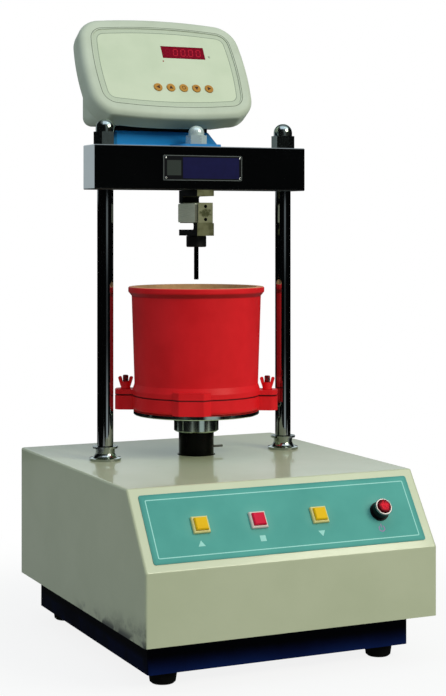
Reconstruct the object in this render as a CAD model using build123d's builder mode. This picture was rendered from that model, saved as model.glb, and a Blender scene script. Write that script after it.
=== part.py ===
from build123d import *
from math import atan2, cos, radians, sin, tan
import os

# A bench penetrometer for setting concrete. Millimetres, +Z up, the front faces -Y.
# The origin is on the ground under the middle of the cabinet.

# Clearances
running_gap = 0.05  # radial, where a shaft turns or slides in its bore
seat_gap = 0.02  # radial, where a piece is held still in a hole
loose_gap = 0.3  # between pieces that pass or lie beside each other

# Cabinet, plinth and feet
cabinet_width = 381.0
cabinet_depth = 450.0
cabinet_height = 170.0
front_height = 84.0
slope_run = 60.0
sheet = 1.5
bend_radius = 3.0
back_border = 14.0
plinth_height = 41.0
plinth_inset = 18.5
plinth_setback = 37.5
plinth_back_inset = 27.5
pan_sheet = 2.5
pan_corner = 4.0
pan_flange = 16.0
foot_height = 16.0
foot_diameter = 35.0
foot_taper = 9.0
foot_edge = 2.0
foot_inset_x = 28.0
foot_inset_y = 24.0
foot_recess_diameter = 12.0
foot_recess_depth = 6.0
plate_thickness = 10.0
floor_slot_length = 60.0
floor_slot_width = 6.0
floor_slot_pitch = 14.0
floor_slot_count = 5
floor_slot_y = 92.0

# Back panel, mains inlet and control box
vent_length = 70.0
vent_width = 4.0
vent_pitch = 11.0
vent_count = 6
vent_from_side = 100.0
inlet_from_side = 85.0
inlet_rise = 55.0
inlet_width = 50.0
inlet_height = 30.0
inlet_corner = 4.0
inlet_depth = 24.0
socket_width = 24.0
socket_height = 17.0
socket_depth = 18.0
socket_bevel = 4.0
socket_wall = 4.0
blade_width = 2.0
blade_length = 4.0
blade_reach = 12.0
blade_pitch = 7.0
blade_drop = 3.0
box_width = 100.0
box_depth = 140.0
box_height = 55.0
box_lid = 4.0
box_edge = 5.0
box_from_side = 22.0
box_from_front = 80.0
box_ear = 12.0
box_ear_thickness = 4.0
box_ear_hole = 2.6

# Control panel and push buttons, measured on the slope
panel_side_margin = 12.5
panel_end_margin = 9.4
panel_thickness = 0.8
panel_corner = 3.0
up_x = -111.0
stop_x = -37.0
down_x = 44.0
power_x = 126.0
power_drop = 2.0
bezel_size = 20.5
bezel_height = 4.0
bezel_floor = 0.6
bezel_edge = 1.0
barrel_diameter = 16.0
barrel_length = 22.0
cap_size = 15.5
cap_gap = 0.2
cap_rise = 3.0
cap_edge = 1.2
button_travel = 3.0
stem_diameter = 8.0
stem_length = 14.0
stem_bore_spare = 5.0
lock_nut_diameter = 24.0
lock_nut_height = 4.0
power_diameter = 20.5
power_flange_diameter = 24.0
power_flange_height = 2.0
power_height = 12.6
power_ring_height = 2.4
power_ring_lip = 0.4
power_ring_edge = 0.4
power_cap_diameter = 16.8
power_cap_rise = 2.6
power_cap_length = 9.0

# Columns, collars and crosshead
column_inset = 62.0
column_y = 65.0
column_diameter = 21.0
column_thread = 16.0
column_free_length = 349.0
column_chamfer = 1.5
foot_nut_flats = 24.0
foot_nut_height = 13.0
thread_stick_out = 3.0
collar_height = 18.0
collar_flange_diameter = 41.0
collar_flange_height = 3.0
collar_hub_diameter = 25.0
collar_flare_height = 6.0
collar_ring_diameter = 33.0
collar_ring_height = 2.4
beam_overhang = 22.5
beam_depth = 42.8
beam_height = 57.5
beam_edge = 1.0
column_nut_flats = 27.0
column_nut_hex = 17.0
column_nut_height = 33.5
column_nut_dome = 25.0
column_nut_turns = [-6.0, 33.0]
centre_nut_flats = 24.0
centre_nut_hex = 12.0
centre_nut_height = 25.0
centre_nut_dome = 21.0
centre_nut_turn = 35.0
dome_flat = 0.6
stud_diameter = 12.0
thread_depth_share = 0.6
nameplate_width = 113.0
nameplate_height = 33.0
nameplate_thickness = 1.0
nameplate_corner = 2.0

# Load cell, chuck and needle
cell_thickness = 24.0
cell_width = 60.0
cell_height = 60.0
cell_arm = 8.0
cell_slot = 8.6
cell_wall = 12.0
cell_slot_radius = 3.0
cell_recess = 1.6
left_cover_thickness = 3.7
right_cover_thickness = 0.9
cell_cover_inset = 2.0
cell_cover_corner = 2.0
cell_hole_diameter = 4.6
cell_hole_depth = 8.0
cell_hole_spacing = 17.0
chuck_diameter = 26.5
chuck_height = 15.0
chuck_edge = 1.0
needle_diameter = 6.2
needle_length = 43.0
needle_shank = 10.0
needle_edge = 0.4

# Indicator and its bracket
lean = 30.0
indicator_x = -25.0
face_behind_columns = 38.6
face_above_beam = 108.0
bezel_width = 239.0
bezel_tall = 160.5
bezel_side_bulge = 7.0
bezel_top_bulge = 8.0
bezel_corner = 36.0
bezel_depth = 26.0
bezel_round = 9.0
bezel_wall = 4.0
label_inset = 18.0
label_recess = 2.0
label_thickness = 0.8
label_gap = 0.3
bezel_inner_round = 1.2
display_width = 62.0
display_height = 19.0
display_thickness = 3.0
display_x = 28.5
display_rise = 25.5
key_count = 5
key_pitch = 18.5
key_x = 17.0
key_drop = 32.5
key_diameter = 12.0
key_travel = 0.6
key_proud = 1.2
key_edge = 0.4
key_stem_diameter = 5.0
key_stem_length = 8.0
board_width = 130.0
board_height = 92.0
board_thickness = 1.6
board_x = 22.0
board_depth = 14.0
switch_size = 6.0
standoff_diameter = 7.0
standoff_inset = 6.0
digits_gap = 0.4
digits_inset = 1.0
shell_wall = 3.0
shell_half_width = 99.0
shell_back = 107.0
shell_top_step = 6.0
shell_round = 12.0
shell_lip = 0.5
shell_foot_step = 14.0
shell_front_slope = 20.0
shell_mouth_inset = 24.0
bracket_thickness = 3.0
bracket_left = 105.0
bracket_right = 40.0
bracket_foot_width = 60.0
bracket_rise = 22.0
bracket_foot_half = 19.0
bracket_web_end = 52.0
bracket_end = 102.0
bracket_corner = 8.0
indicator_foot_height = 7.0
indicator_foot_length = 128.0
indicator_foot_depth = 12.0
indicator_foot_front = 58.0
indicator_foot_rear = 88.0

# Lift: ram, collar and platen
ram_diameter = 46.5
ram_show = 31.0
ram_below = 109.0
ram_bore = 30.0
ram_bore_depth = 135.0
ram_hole_gap = 1.8
ram_collar_diameter = 59.0
ram_collar_height = 22.7
ram_collar_chamfer = 1.5
platen_diameter = 166.0
platen_thickness = 6.0
platen_edge = 1.0
pin_diameter = 3.0
pin_reach = 38.0
pin_root = 8.0
pin_rise = 9.0

# Drive under the ram
screw_diameter = 20.0
screw_top_below_cabinet = 2.0
screw_collar_diameter = 32.0
screw_collar_height = 6.0
journal_diameter = 17.0
journal_clearance = 1.0
nut_height = 32.0
bearing_diameter = 40.0
bearing_height = 14.0
guide_flange_diameter = 112.0
guide_flange_height = 12.0
guide_outer = 68.0
guide_bore = 56.0
guide_below_cabinet = 8.0
guide_bolt_circle = 92.0
guide_bolt_hole = 9.0
guide_bolt_count = 4
bush_height = 40.0
bush_flange = 3.0
bush_flange_diameter = 66.0
belt_width = 12.0
belt_thickness = 2.5
belt_height = 34.0
pulley_cheek = 2.0
pulley_lip = 3.0
belt_side_gap = 0.5
driven_radius = 40.0
driver_radius = 20.0
motor_distance = 135.0
motor_shaft = 10.0
motor_shaft_reach = 18.0
gearbox_size = 76.0
gearbox_height = 38.0
gearbox_edge = 6.0
motor_diameter = 64.0
motor_height = 72.0
motor_cap_height = 10.0
motor_cap_step = 3.0

# Mould: a cup clamped on a base by two studs with wing nuts
mould_turn = -28.0
cup_height = 142.6
cup_bore_bottom = 150.0
cup_bore_top = 160.0
cup_outer_bottom = 163.5
cup_outer_top = 171.0
lip_diameter = 180.0
lip_height = 12.0
lip_taper = 5.5
lip_round = 2.0
flare_height = 8.0
flange_diameter = 169.0
flange_height = 7.0
seam_chamfer = 0.7
mould_base_thickness = 19.6
mould_recess = 7.4
mould_base_round = 5.0
lug_reach = 107.5
lug_width = 28.0
lug_corner = 9.0
lug_gap = 1.2
dog_width = 33.0
dog_root_width = 50.0
dog_root = 81.0
dog_corner = 3.0
dog_reach = 90.0
dog_gap = 0.4
dog_rise = 3.0
mould_stud_radius = 94.0
mould_stud_diameter = 8.0
mould_stud_depth = 15.0
mould_stud_rise = 18.0
wing_hub_bottom = 13.0
wing_hub_top = 11.0
wing_hub_height = 9.0
wing_reach = 10.5
wing_rise = 16.0
wing_thickness = 4.0
wing_round = 2.2

# Heights and places worked out from the sizes above
cabinet_bottom = foot_height + plinth_height
cabinet_top = cabinet_bottom + cabinet_height
plate_top = cabinet_bottom + plate_thickness
front_y = -cabinet_depth / 2
back_y = cabinet_depth / 2
slope_top_y = front_y + slope_run
slope_foot_z = cabinet_bottom + front_height
slope_rise = cabinet_height - front_height
slope_angle = atan2(slope_rise, slope_run)
plinth_width = cabinet_width - 2 * plinth_inset
plinth_depth = cabinet_depth - plinth_setback - plinth_back_inset
plinth_y = front_y + plinth_setback + plinth_depth / 2
vent_x = vent_from_side - cabinet_width / 2
inlet_x = cabinet_width / 2 - inlet_from_side
box_x = box_from_side + (box_width - cabinet_width) / 2
box_y = front_y + box_from_front + box_depth / 2
panel_width = cabinet_width - 2 * panel_side_margin
panel_height = slope_rise / sin(slope_angle) - 2 * panel_end_margin
column_x = cabinet_width / 2 - column_inset
beam_length = 2 * (column_x + beam_overhang)
column_places = [(-column_x, column_y), (column_x, column_y)]
axis_place = (0, column_y)
motor_place = (0, column_y - motor_distance)
beam_bottom = cabinet_top + column_free_length
beam_top = beam_bottom + beam_height
cell_bottom = beam_bottom - cell_height
chuck_bottom = cell_bottom - chuck_height
needle_tip = chuck_bottom - needle_length
ram_collar_bottom = cabinet_top + ram_show
platen_bottom = ram_collar_bottom + ram_collar_height
mould_bottom = platen_bottom + platen_thickness
seam = mould_bottom + mould_base_thickness
rim = seam + cup_height
ram_bottom = cabinet_top - ram_below
bracket_top = beam_top + bracket_rise
shell_bottom = bracket_top + indicator_foot_height
bezel_top = panel_thickness + bezel_height
vertical_axis = Axis((0, column_y, 0), (0, 0, 1))
upright = (Align.CENTER, Align.CENTER, Align.MIN)

slope_plane = Plane(
    origin=(0, (front_y + slope_top_y) / 2, (slope_foot_z + cabinet_top) / 2),
    x_dir=(1, 0, 0),
    z_dir=(0, -sin(slope_angle), cos(slope_angle)),
)
face_plane = Plane(
    origin=(indicator_x, column_y + face_behind_columns, beam_top + face_above_beam),
    x_dir=(1, 0, 0),
    z_dir=(0, -cos(radians(lean)), sin(radians(lean))),
)
mould_plane = Plane(
    origin=(0, column_y, 0),
    x_dir=(cos(radians(mould_turn)), sin(radians(mould_turn)), 0),
    z_dir=(0, 0, 1),
)
slope_axis = Axis(slope_plane.origin, slope_plane.z_dir)
square_buttons = {"up_button": up_x, "stop_button": stop_x, "down_button": down_x}
square_places = [(x, 0) for x in square_buttons.values()]
power_place = (power_x, -power_drop)
button_places = [*square_places, power_place]

os.makedirs("parts", exist_ok=True)


def save(piece, name):
    """Label a finished piece and write it as a STEP file of the same name."""
    piece.part.label = name
    export_step(piece.part, f"parts/{name}.step")


def bar(place, diameter, low, high, mode=Mode.ADD):
    """Add or cut an upright round bar at an (x, y) place between two heights."""
    with Locations((place[0], place[1], low)):
        Cylinder(diameter / 2, high - low, align=upright, mode=mode)


def loose(diameter):
    """Diameter of a hole that a round piece passes through freely."""
    return diameter + 2 * loose_gap


def seat(diameter):
    """Diameter of a hole that holds a round piece still."""
    return diameter + 2 * seat_gap


def running(diameter):
    """Diameter of a bore that a round piece turns or slides in."""
    return diameter + 2 * running_gap


# Plinth
foot_places = [
    (sx * (plinth_width / 2 - foot_inset_x), plinth_y + sy * (plinth_depth / 2 - foot_inset_y))
    for sx in (-1, 1)
    for sy in (-1, 1)
]

with BuildPart() as rubber_feet:
    with BuildSketch(Plane.XY.offset(foot_height)):
        with Locations(*foot_places):
            Circle(foot_diameter / 2)
    extrude(amount=-foot_height, taper=foot_taper)
    chamfer(rubber_feet.edges().group_by(Axis.Z)[0], foot_edge)
    for place in foot_places:
        bar(place, foot_recess_diameter, 0, foot_recess_depth, Mode.SUBTRACT)
save(rubber_feet, "rubber_feet")

with BuildPart() as base_pan:
    with BuildSketch(Plane.XY.offset(foot_height)):
        with Locations((0, plinth_y)):
            RectangleRounded(plinth_width, plinth_depth, pan_corner)
    extrude(amount=plinth_height)
    offset(amount=-pan_sheet, openings=base_pan.faces().sort_by(Axis.Z)[-1])
    with BuildSketch(Plane.XY.offset(cabinet_bottom)):
        with Locations((0, plinth_y)):
            RectangleRounded(plinth_width, plinth_depth, pan_corner)
            Rectangle(plinth_width - 2 * pan_flange, plinth_depth - 2 * pan_flange, mode=Mode.SUBTRACT)
    extrude(amount=-pan_sheet)
    with BuildSketch(Plane.XY.offset(foot_height)):
        with Locations((0, plinth_y - floor_slot_y), (0, plinth_y + floor_slot_y)):
            with GridLocations(0, floor_slot_pitch, 1, floor_slot_count):
                SlotOverall(floor_slot_length, floor_slot_width)
    extrude(amount=pan_sheet, mode=Mode.SUBTRACT)
save(base_pan, "base_pan")

# Heavy plate inside the cabinet that carries the columns and the drive
with BuildPart() as base_plate:
    with BuildSketch(Plane.XY.offset(cabinet_bottom)):
        RectangleRounded(
            cabinet_width - 2 * (sheet + loose_gap),
            cabinet_depth - 2 * (sheet + loose_gap),
            bend_radius,
        )
    extrude(amount=plate_thickness)
    for place in column_places:
        bar(place, seat(column_thread), cabinet_bottom, plate_top, Mode.SUBTRACT)
    bar(axis_place, journal_diameter + 2 * journal_clearance, cabinet_bottom, plate_top, Mode.SUBTRACT)
    bar(motor_place, motor_shaft + 2 * journal_clearance, cabinet_bottom, plate_top, Mode.SUBTRACT)
save(base_plate, "base_plate")

# Folded sheet cabinet, open underneath and with a framed opening at the back
panel_top = cabinet_top - bend_radius - loose_gap
panel_half_width = cabinet_width / 2 - bend_radius - loose_gap

with BuildPart() as cabinet_cover:
    with BuildSketch(Plane.YZ.offset(-cabinet_width / 2)):
        with BuildLine():
            Polyline(
                (front_y, cabinet_bottom),
                (front_y, slope_foot_z),
                (slope_top_y, cabinet_top),
                (back_y, cabinet_top),
                (back_y, cabinet_bottom),
                close=True,
            )
        make_face()
    extrude(amount=cabinet_width)
    underside = cabinet_cover.faces().sort_by(Axis.Z)[0]
    folded_edges = cabinet_cover.edges() - underside.edges()
    fillet(folded_edges, bend_radius)
    offset(amount=-sheet, openings=cabinet_cover.faces().sort_by(Axis.Z)[0])
    with BuildSketch(Plane.XY.offset(cabinet_top)):
        with Locations(*column_places):
            Circle(loose(column_diameter) / 2)
        with Locations(axis_place):
            Circle(ram_diameter / 2 + ram_hole_gap)
    extrude(amount=-2 * sheet, mode=Mode.SUBTRACT)
    with BuildSketch(slope_plane):
        with Locations(*button_places):
            Circle(loose(barrel_diameter) / 2)
    extrude(amount=-2 * sheet, mode=Mode.SUBTRACT)
    with BuildSketch(Plane.XZ.offset(-back_y)):
        with Locations((0, (plate_top + cabinet_top) / 2)):
            Rectangle(cabinet_width - 2 * back_border, cabinet_top - plate_top - 2 * back_border)
    extrude(amount=2 * sheet, mode=Mode.SUBTRACT)
save(cabinet_cover, "cabinet_cover")

# Back panel behind the framed opening, with vents and the mains inlet
panel_outer_y = back_y - sheet
inlet_z = plate_top + inlet_rise

with BuildPart() as back_panel:
    with BuildSketch(Plane.XZ.offset(-panel_outer_y)):
        with Locations((0, (plate_top + panel_top) / 2)):
            Rectangle(2 * panel_half_width, panel_top - plate_top)
        with Locations((vent_x, (plate_top + cabinet_top) / 2)):
            with GridLocations(0, vent_pitch, 1, vent_count):
                SlotOverall(vent_length, vent_width, mode=Mode.SUBTRACT)
        with Locations((inlet_x, inlet_z)):
            Rectangle(
                inlet_width - 2 * inlet_corner + 2 * loose_gap,
                inlet_height - 2 * inlet_corner + 2 * loose_gap,
                mode=Mode.SUBTRACT,
            )
    extrude(amount=sheet)
save(back_panel, "back_panel")

with BuildPart() as power_inlet:
    with BuildSketch(Plane.XZ.offset(-back_y)):
        with Locations((inlet_x, inlet_z)):
            RectangleRounded(inlet_width, inlet_height, inlet_corner)
    extrude(amount=sheet)
    with BuildSketch(Plane.XZ.offset(-panel_outer_y)):
        with Locations((inlet_x, inlet_z)):
            Rectangle(inlet_width - 2 * inlet_corner, inlet_height - 2 * inlet_corner)
    extrude(amount=inlet_depth)
    with BuildSketch(Plane.XZ.offset(-back_y)) as socket:
        with Locations((inlet_x, inlet_z)):
            Rectangle(socket_width, socket_height)
        chamfer(socket.vertices().group_by(Axis.Y)[-1], socket_bevel)
    extrude(amount=socket_depth, mode=Mode.SUBTRACT)
    with BuildSketch(Plane.XZ.offset(socket_depth - back_y)):
        with Locations((inlet_x, inlet_z)):
            with Locations((0, blade_drop), (-blade_pitch, -blade_drop), (blade_pitch, -blade_drop)):
                Rectangle(blade_width, blade_length)
    extrude(amount=-blade_reach)
save(power_inlet, "power_inlet")

with BuildPart() as control_box:
    with BuildSketch(Plane.XY.offset(plate_top)):
        with Locations((box_x, box_y)):
            Rectangle(box_width, box_depth + 2 * box_ear)
            with GridLocations(box_width - 2 * box_ear, box_depth + box_ear, 2, 2):
                Circle(box_ear_hole, mode=Mode.SUBTRACT)
    extrude(amount=box_ear_thickness)
    with BuildSketch(Plane.XY.offset(plate_top)):
        with Locations((box_x, box_y)):
            RectangleRounded(box_width, box_depth, box_edge)
    extrude(amount=box_height)
    with BuildSketch(Plane.XY.offset(plate_top + box_height)):
        with Locations((box_x, box_y)):
            RectangleRounded(box_width - 2 * box_lid, box_depth - 2 * box_lid, box_edge)
    extrude(amount=box_lid)
save(control_box, "control_box")

# Sloping control panel and its push buttons
with BuildPart() as control_panel:
    with BuildSketch(slope_plane):
        RectangleRounded(panel_width, panel_height, panel_corner)
        with Locations(*button_places):
            Circle(loose(barrel_diameter) / 2, mode=Mode.SUBTRACT)
    extrude(amount=panel_thickness)
save(control_panel, "control_panel")

cavity_floor = panel_thickness + bezel_floor
cap_bottom = cavity_floor + button_travel + cap_gap
cap_top = bezel_top + cap_rise
stem_end = cap_bottom - stem_length
stem_bore_end = stem_end - stem_bore_spare

with BuildPart() as button_bezels:
    with BuildSketch(slope_plane.offset(panel_thickness)):
        with Locations(*square_places):
            Rectangle(bezel_size, bezel_size)
    extrude(amount=bezel_height)
    bezel_fronts = button_bezels.faces().sort_by(slope_axis)[-len(square_places) :]
    chamfer(bezel_fronts.edges(), bezel_edge)
    with BuildSketch(slope_plane.offset(panel_thickness)):
        with Locations(*square_places):
            Circle(barrel_diameter / 2)
    extrude(amount=-barrel_length)
    with BuildSketch(slope_plane.offset(cavity_floor)):
        with Locations(*square_places):
            Rectangle(cap_size + 2 * cap_gap, cap_size + 2 * cap_gap)
    extrude(amount=bezel_height, mode=Mode.SUBTRACT)
    with BuildSketch(slope_plane.offset(cavity_floor)):
        with Locations(*square_places):
            Circle(running(stem_diameter) / 2)
    extrude(amount=stem_bore_end - cavity_floor, mode=Mode.SUBTRACT)
save(button_bezels, "button_bezels")

for name, x in square_buttons.items():
    with BuildPart() as button:
        with BuildSketch(slope_plane.offset(cap_bottom)):
            with Locations((x, 0)):
                Rectangle(cap_size, cap_size)
        extrude(amount=cap_top - cap_bottom)
        chamfer(button.faces().sort_by(slope_axis)[-1].edges(), cap_edge)
        with BuildSketch(slope_plane.offset(cap_bottom)):
            with Locations((x, 0)):
                Circle(stem_diameter / 2)
        extrude(amount=-stem_length)
    save(button, name)

power_top = panel_thickness + power_height
power_cap_top = power_top + power_ring_height + power_cap_rise
power_cap_bottom = power_cap_top - power_cap_length
power_floor = power_cap_bottom - button_travel - cap_gap

with BuildPart() as power_housing:
    with BuildSketch(slope_plane.offset(panel_thickness)):
        with Locations(power_place):
            Circle(power_flange_diameter / 2)
    extrude(amount=power_flange_height)
    with BuildSketch(slope_plane.offset(panel_thickness)):
        with Locations(power_place):
            Circle(power_diameter / 2)
    extrude(amount=power_height)
    with BuildSketch(slope_plane.offset(panel_thickness)):
        with Locations(power_place):
            Circle(barrel_diameter / 2)
    extrude(amount=-barrel_length)
    with BuildSketch(slope_plane.offset(power_floor)):
        with Locations(power_place):
            Circle(power_cap_diameter / 2 + cap_gap)
    extrude(amount=power_top - power_floor, mode=Mode.SUBTRACT)
    with BuildSketch(slope_plane.offset(power_floor)):
        with Locations(power_place):
            Circle(running(stem_diameter) / 2)
    extrude(amount=-stem_length - stem_bore_spare, mode=Mode.SUBTRACT)
save(power_housing, "power_housing")

with BuildPart() as power_ring:
    with BuildSketch(slope_plane.offset(power_top)):
        with Locations(power_place):
            Circle(power_diameter / 2 + power_ring_lip)
            Circle(power_cap_diameter / 2 + cap_gap, mode=Mode.SUBTRACT)
    extrude(amount=power_ring_height)
    chamfer(power_ring.edges().sort_by(slope_axis)[-2:], power_ring_edge)
save(power_ring, "power_ring")

with BuildPart() as power_button:
    with BuildSketch(slope_plane.offset(power_cap_bottom)):
        with Locations(power_place):
            Circle(power_cap_diameter / 2)
    extrude(amount=power_cap_length)
    fillet(power_button.edges().sort_by(slope_axis)[-1], cap_edge)
    with BuildSketch(slope_plane.offset(power_cap_bottom)):
        with Locations(power_place):
            Circle(stem_diameter / 2)
    extrude(amount=-stem_length)
save(power_button, "power_button")

with BuildPart() as button_lock_nuts:
    with BuildSketch(slope_plane.offset(-sheet)):
        with Locations(*button_places):
            RegularPolygon(lock_nut_diameter / 2, 6, major_radius=False)
            Circle(seat(barrel_diameter) / 2, mode=Mode.SUBTRACT)
    extrude(amount=-lock_nut_height)
save(button_lock_nuts, "button_lock_nuts")

# Columns with shoulders that seat on the base plate and under the crosshead
column_nut_bore = column_nut_height * thread_depth_share

for name, place in zip(("left_column", "right_column"), column_places):
    with BuildPart() as column:
        bar(place, column_thread, cabinet_bottom - foot_nut_height - thread_stick_out, plate_top)
        bar(place, column_diameter, plate_top, beam_bottom)
        bar(place, column_thread, beam_bottom, beam_top + column_nut_bore - thread_stick_out)
        chamfer(column.edges().group_by(Axis.Z)[0] + column.edges().group_by(Axis.Z)[-1], column_chamfer)
    save(column, name)

with BuildPart() as column_foot_nuts:
    with BuildSketch(Plane.XY.offset(cabinet_bottom)):
        with Locations(*column_places):
            RegularPolygon(foot_nut_flats / 2, 6, major_radius=False)
            Circle(seat(column_thread) / 2, mode=Mode.SUBTRACT)
    extrude(amount=-foot_nut_height)
save(column_foot_nuts, "column_foot_nuts")

# Flanged collars where the columns leave the cabinet
collar_bore = seat(column_diameter) / 2
flange_top = cabinet_top + collar_flange_height
flare_top = flange_top + collar_flare_height
ring_bottom = cabinet_top + collar_height - collar_ring_height

with BuildPart() as column_collars:
    for place in column_places:
        with BuildSketch(Plane.XZ.offset(-column_y)):
            with BuildLine():
                Polyline(
                    (place[0] + collar_bore, cabinet_top),
                    (place[0] + collar_flange_diameter / 2, cabinet_top),
                    (place[0] + collar_flange_diameter / 2, flange_top),
                )
                TangentArc(
                    (place[0] + collar_flange_diameter / 2, flange_top),
                    (place[0] + collar_hub_diameter / 2, flare_top),
                    tangent=(-1, 0),
                )
                Polyline(
                    (place[0] + collar_hub_diameter / 2, flare_top),
                    (place[0] + collar_hub_diameter / 2, ring_bottom),
                    (place[0] + collar_ring_diameter / 2, ring_bottom),
                    (place[0] + collar_ring_diameter / 2, cabinet_top + collar_height),
                    (place[0] + collar_bore, cabinet_top + collar_height),
                    (place[0] + collar_bore, cabinet_top),
                )
            make_face()
        revolve(axis=Axis((place[0], place[1], 0), (0, 0, 1)))
save(column_collars, "column_collars")

with BuildPart() as crosshead:
    with Locations((0, column_y, beam_bottom)):
        Box(beam_length, beam_depth, beam_height, align=upright)
    chamfer(crosshead.edges(), beam_edge)
    for place in column_places:
        bar(place, seat(column_thread), beam_bottom, beam_top, Mode.SUBTRACT)
    bar(axis_place, seat(stud_diameter), beam_bottom, beam_top, Mode.SUBTRACT)
save(crosshead, "crosshead")


def dome_nuts(places, turns, low, flats, hex_height, height, dome, thread):
    """Acorn nuts: a hexagon with a round cap over a blind thread."""
    with BuildPart() as nuts:
        with BuildSketch(Plane.XY.offset(low)):
            for place, turn in zip(places, turns):
                with Locations(place):
                    RegularPolygon(flats / 2, 6, major_radius=False, rotation=turn)
        extrude(amount=hex_height)
        for place in places:
            bar(place, dome, low + hex_height, low + height)
        cap_round = min(dome / 2, height - hex_height) - dome_flat
        fillet(nuts.edges().group_by(Axis.Z)[-1], cap_round)
        for place in places:
            bar(place, seat(thread), low, low + height * thread_depth_share, Mode.SUBTRACT)
    return nuts


save(
    dome_nuts(
        column_places,
        column_nut_turns,
        beam_top,
        column_nut_flats,
        column_nut_hex,
        column_nut_height,
        column_nut_dome,
        column_thread,
    ),
    "column_dome_nuts",
)
centre_nut_seat = beam_top + bracket_thickness
save(
    dome_nuts(
        [axis_place],
        [centre_nut_turn],
        centre_nut_seat,
        centre_nut_flats,
        centre_nut_hex,
        centre_nut_height,
        centre_nut_dome,
        stud_diameter,
    ),
    "centre_dome_nut",
)

with BuildPart() as hanger_stud:
    stud_top = centre_nut_seat + centre_nut_height * thread_depth_share - thread_stick_out
    bar(axis_place, stud_diameter, beam_bottom - cell_arm, stud_top)
save(hanger_stud, "hanger_stud")

with BuildPart() as nameplate:
    with BuildSketch(Plane.XZ.offset(beam_depth / 2 - column_y)):
        with Locations((0, (beam_bottom + beam_top) / 2)):
            RectangleRounded(nameplate_width, nameplate_height, nameplate_corner)
    extrude(amount=nameplate_thickness)
save(nameplate, "nameplate")

# S-shaped load cell: two arms joined to a middle block by opposite walls
cell_front = column_y - cell_width / 2
cell_rear = column_y + cell_width / 2
slot_length = cell_width - cell_wall + 2 * cell_slot_radius
slot_middle = cell_width - cell_wall - slot_length / 2
upper_slot_z = beam_bottom - cell_arm - cell_slot / 2
lower_slot_z = cell_bottom + cell_arm + cell_slot / 2
block_top = upper_slot_z - cell_slot / 2
block_bottom = lower_slot_z + cell_slot / 2
block_middle = (block_top + block_bottom) / 2

with BuildPart() as load_cell:
    with BuildSketch(Plane.YZ.offset(-cell_thickness / 2)):
        with Locations((column_y, (cell_bottom + beam_bottom) / 2)):
            Rectangle(cell_width, cell_height)
        with Locations((cell_front + slot_middle, upper_slot_z), (cell_rear - slot_middle, lower_slot_z)):
            RectangleRounded(slot_length, cell_slot, cell_slot_radius, mode=Mode.SUBTRACT)
    extrude(amount=cell_thickness)
    for side in (-1, 1):
        with BuildSketch(Plane.YZ.offset(side * cell_thickness / 2)):
            with Locations((column_y, block_middle)):
                Rectangle(cell_width, block_top - block_bottom)
        extrude(amount=-side * cell_recess, mode=Mode.SUBTRACT)
    with BuildSketch(Plane.XZ.offset(-cell_front)):
        with Locations((0, block_middle)):
            with GridLocations(0, cell_hole_spacing, 1, 2):
                Circle(cell_hole_diameter / 2)
    extrude(amount=-cell_hole_depth, mode=Mode.SUBTRACT)
    bar(axis_place, seat(stud_diameter), beam_bottom - cell_arm, beam_bottom, Mode.SUBTRACT)
    bar(axis_place, seat(stud_diameter), cell_bottom, cell_bottom + cell_arm, Mode.SUBTRACT)
save(load_cell, "load_cell")

with BuildPart() as cell_covers:
    for side, thickness in ((-1, left_cover_thickness), (1, right_cover_thickness)):
        with BuildSketch(Plane.YZ.offset(side * (cell_thickness / 2 - cell_recess))):
            with Locations((column_y, block_middle)):
                RectangleRounded(
                    cell_width - 2 * cell_cover_inset,
                    block_top - block_bottom - cell_cover_inset,
                    cell_cover_corner,
                )
        extrude(amount=side * thickness)
save(cell_covers, "cell_covers")

with BuildPart() as needle_chuck:
    bar(axis_place, chuck_diameter, chuck_bottom, cell_bottom)
    chamfer(needle_chuck.edges().filter_by(GeomType.CIRCLE), chuck_edge)
    bar(axis_place, stud_diameter, cell_bottom, cell_bottom + cell_arm)
    bar(axis_place, seat(needle_diameter), chuck_bottom, chuck_bottom + needle_shank, Mode.SUBTRACT)
save(needle_chuck, "needle_chuck")

with BuildPart() as needle:
    bar(axis_place, needle_diameter, needle_tip, chuck_bottom + needle_shank)
    chamfer(needle.edges().group_by(Axis.Z)[0], needle_edge)
save(needle, "needle")


# Indicator: a leaning bezel with a recessed label, and a wedge-shaped rear shell
def bezel_outline(plane, inset):
    """Outline where four wide discs overlap, with round corners, drawn in by an inset."""
    half_width = bezel_width / 2
    half_tall = bezel_tall / 2
    top_radius = ((half_width - bezel_side_bulge) ** 2 + bezel_top_bulge**2) / (2 * bezel_top_bulge)
    side_radius = ((half_tall - bezel_top_bulge) ** 2 + bezel_side_bulge**2) / (2 * bezel_side_bulge)
    with BuildSketch(plane) as outline:
        with Locations((0, half_tall - top_radius)):
            Circle(top_radius - inset)
        with Locations((0, top_radius - half_tall)):
            Circle(top_radius - inset, mode=Mode.INTERSECT)
        with Locations((side_radius - half_width, 0)):
            Circle(side_radius - inset, mode=Mode.INTERSECT)
        with Locations(Location((half_width - side_radius, 0, 0), (0, 0, 180))):
            Circle(side_radius - inset, mode=Mode.INTERSECT)
        fillet(outline.vertices(), bezel_corner - inset)
    return outline.sketch


face_axis = Axis(face_plane.origin, face_plane.z_dir)
front_wall_back = -label_recess - bezel_wall
label_back = -label_recess
label_front = label_back + label_thickness
display_place = (display_x, display_rise)
key_places = [(key_x + (i - (key_count - 1) / 2) * key_pitch, -key_drop) for i in range(key_count)]

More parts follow.
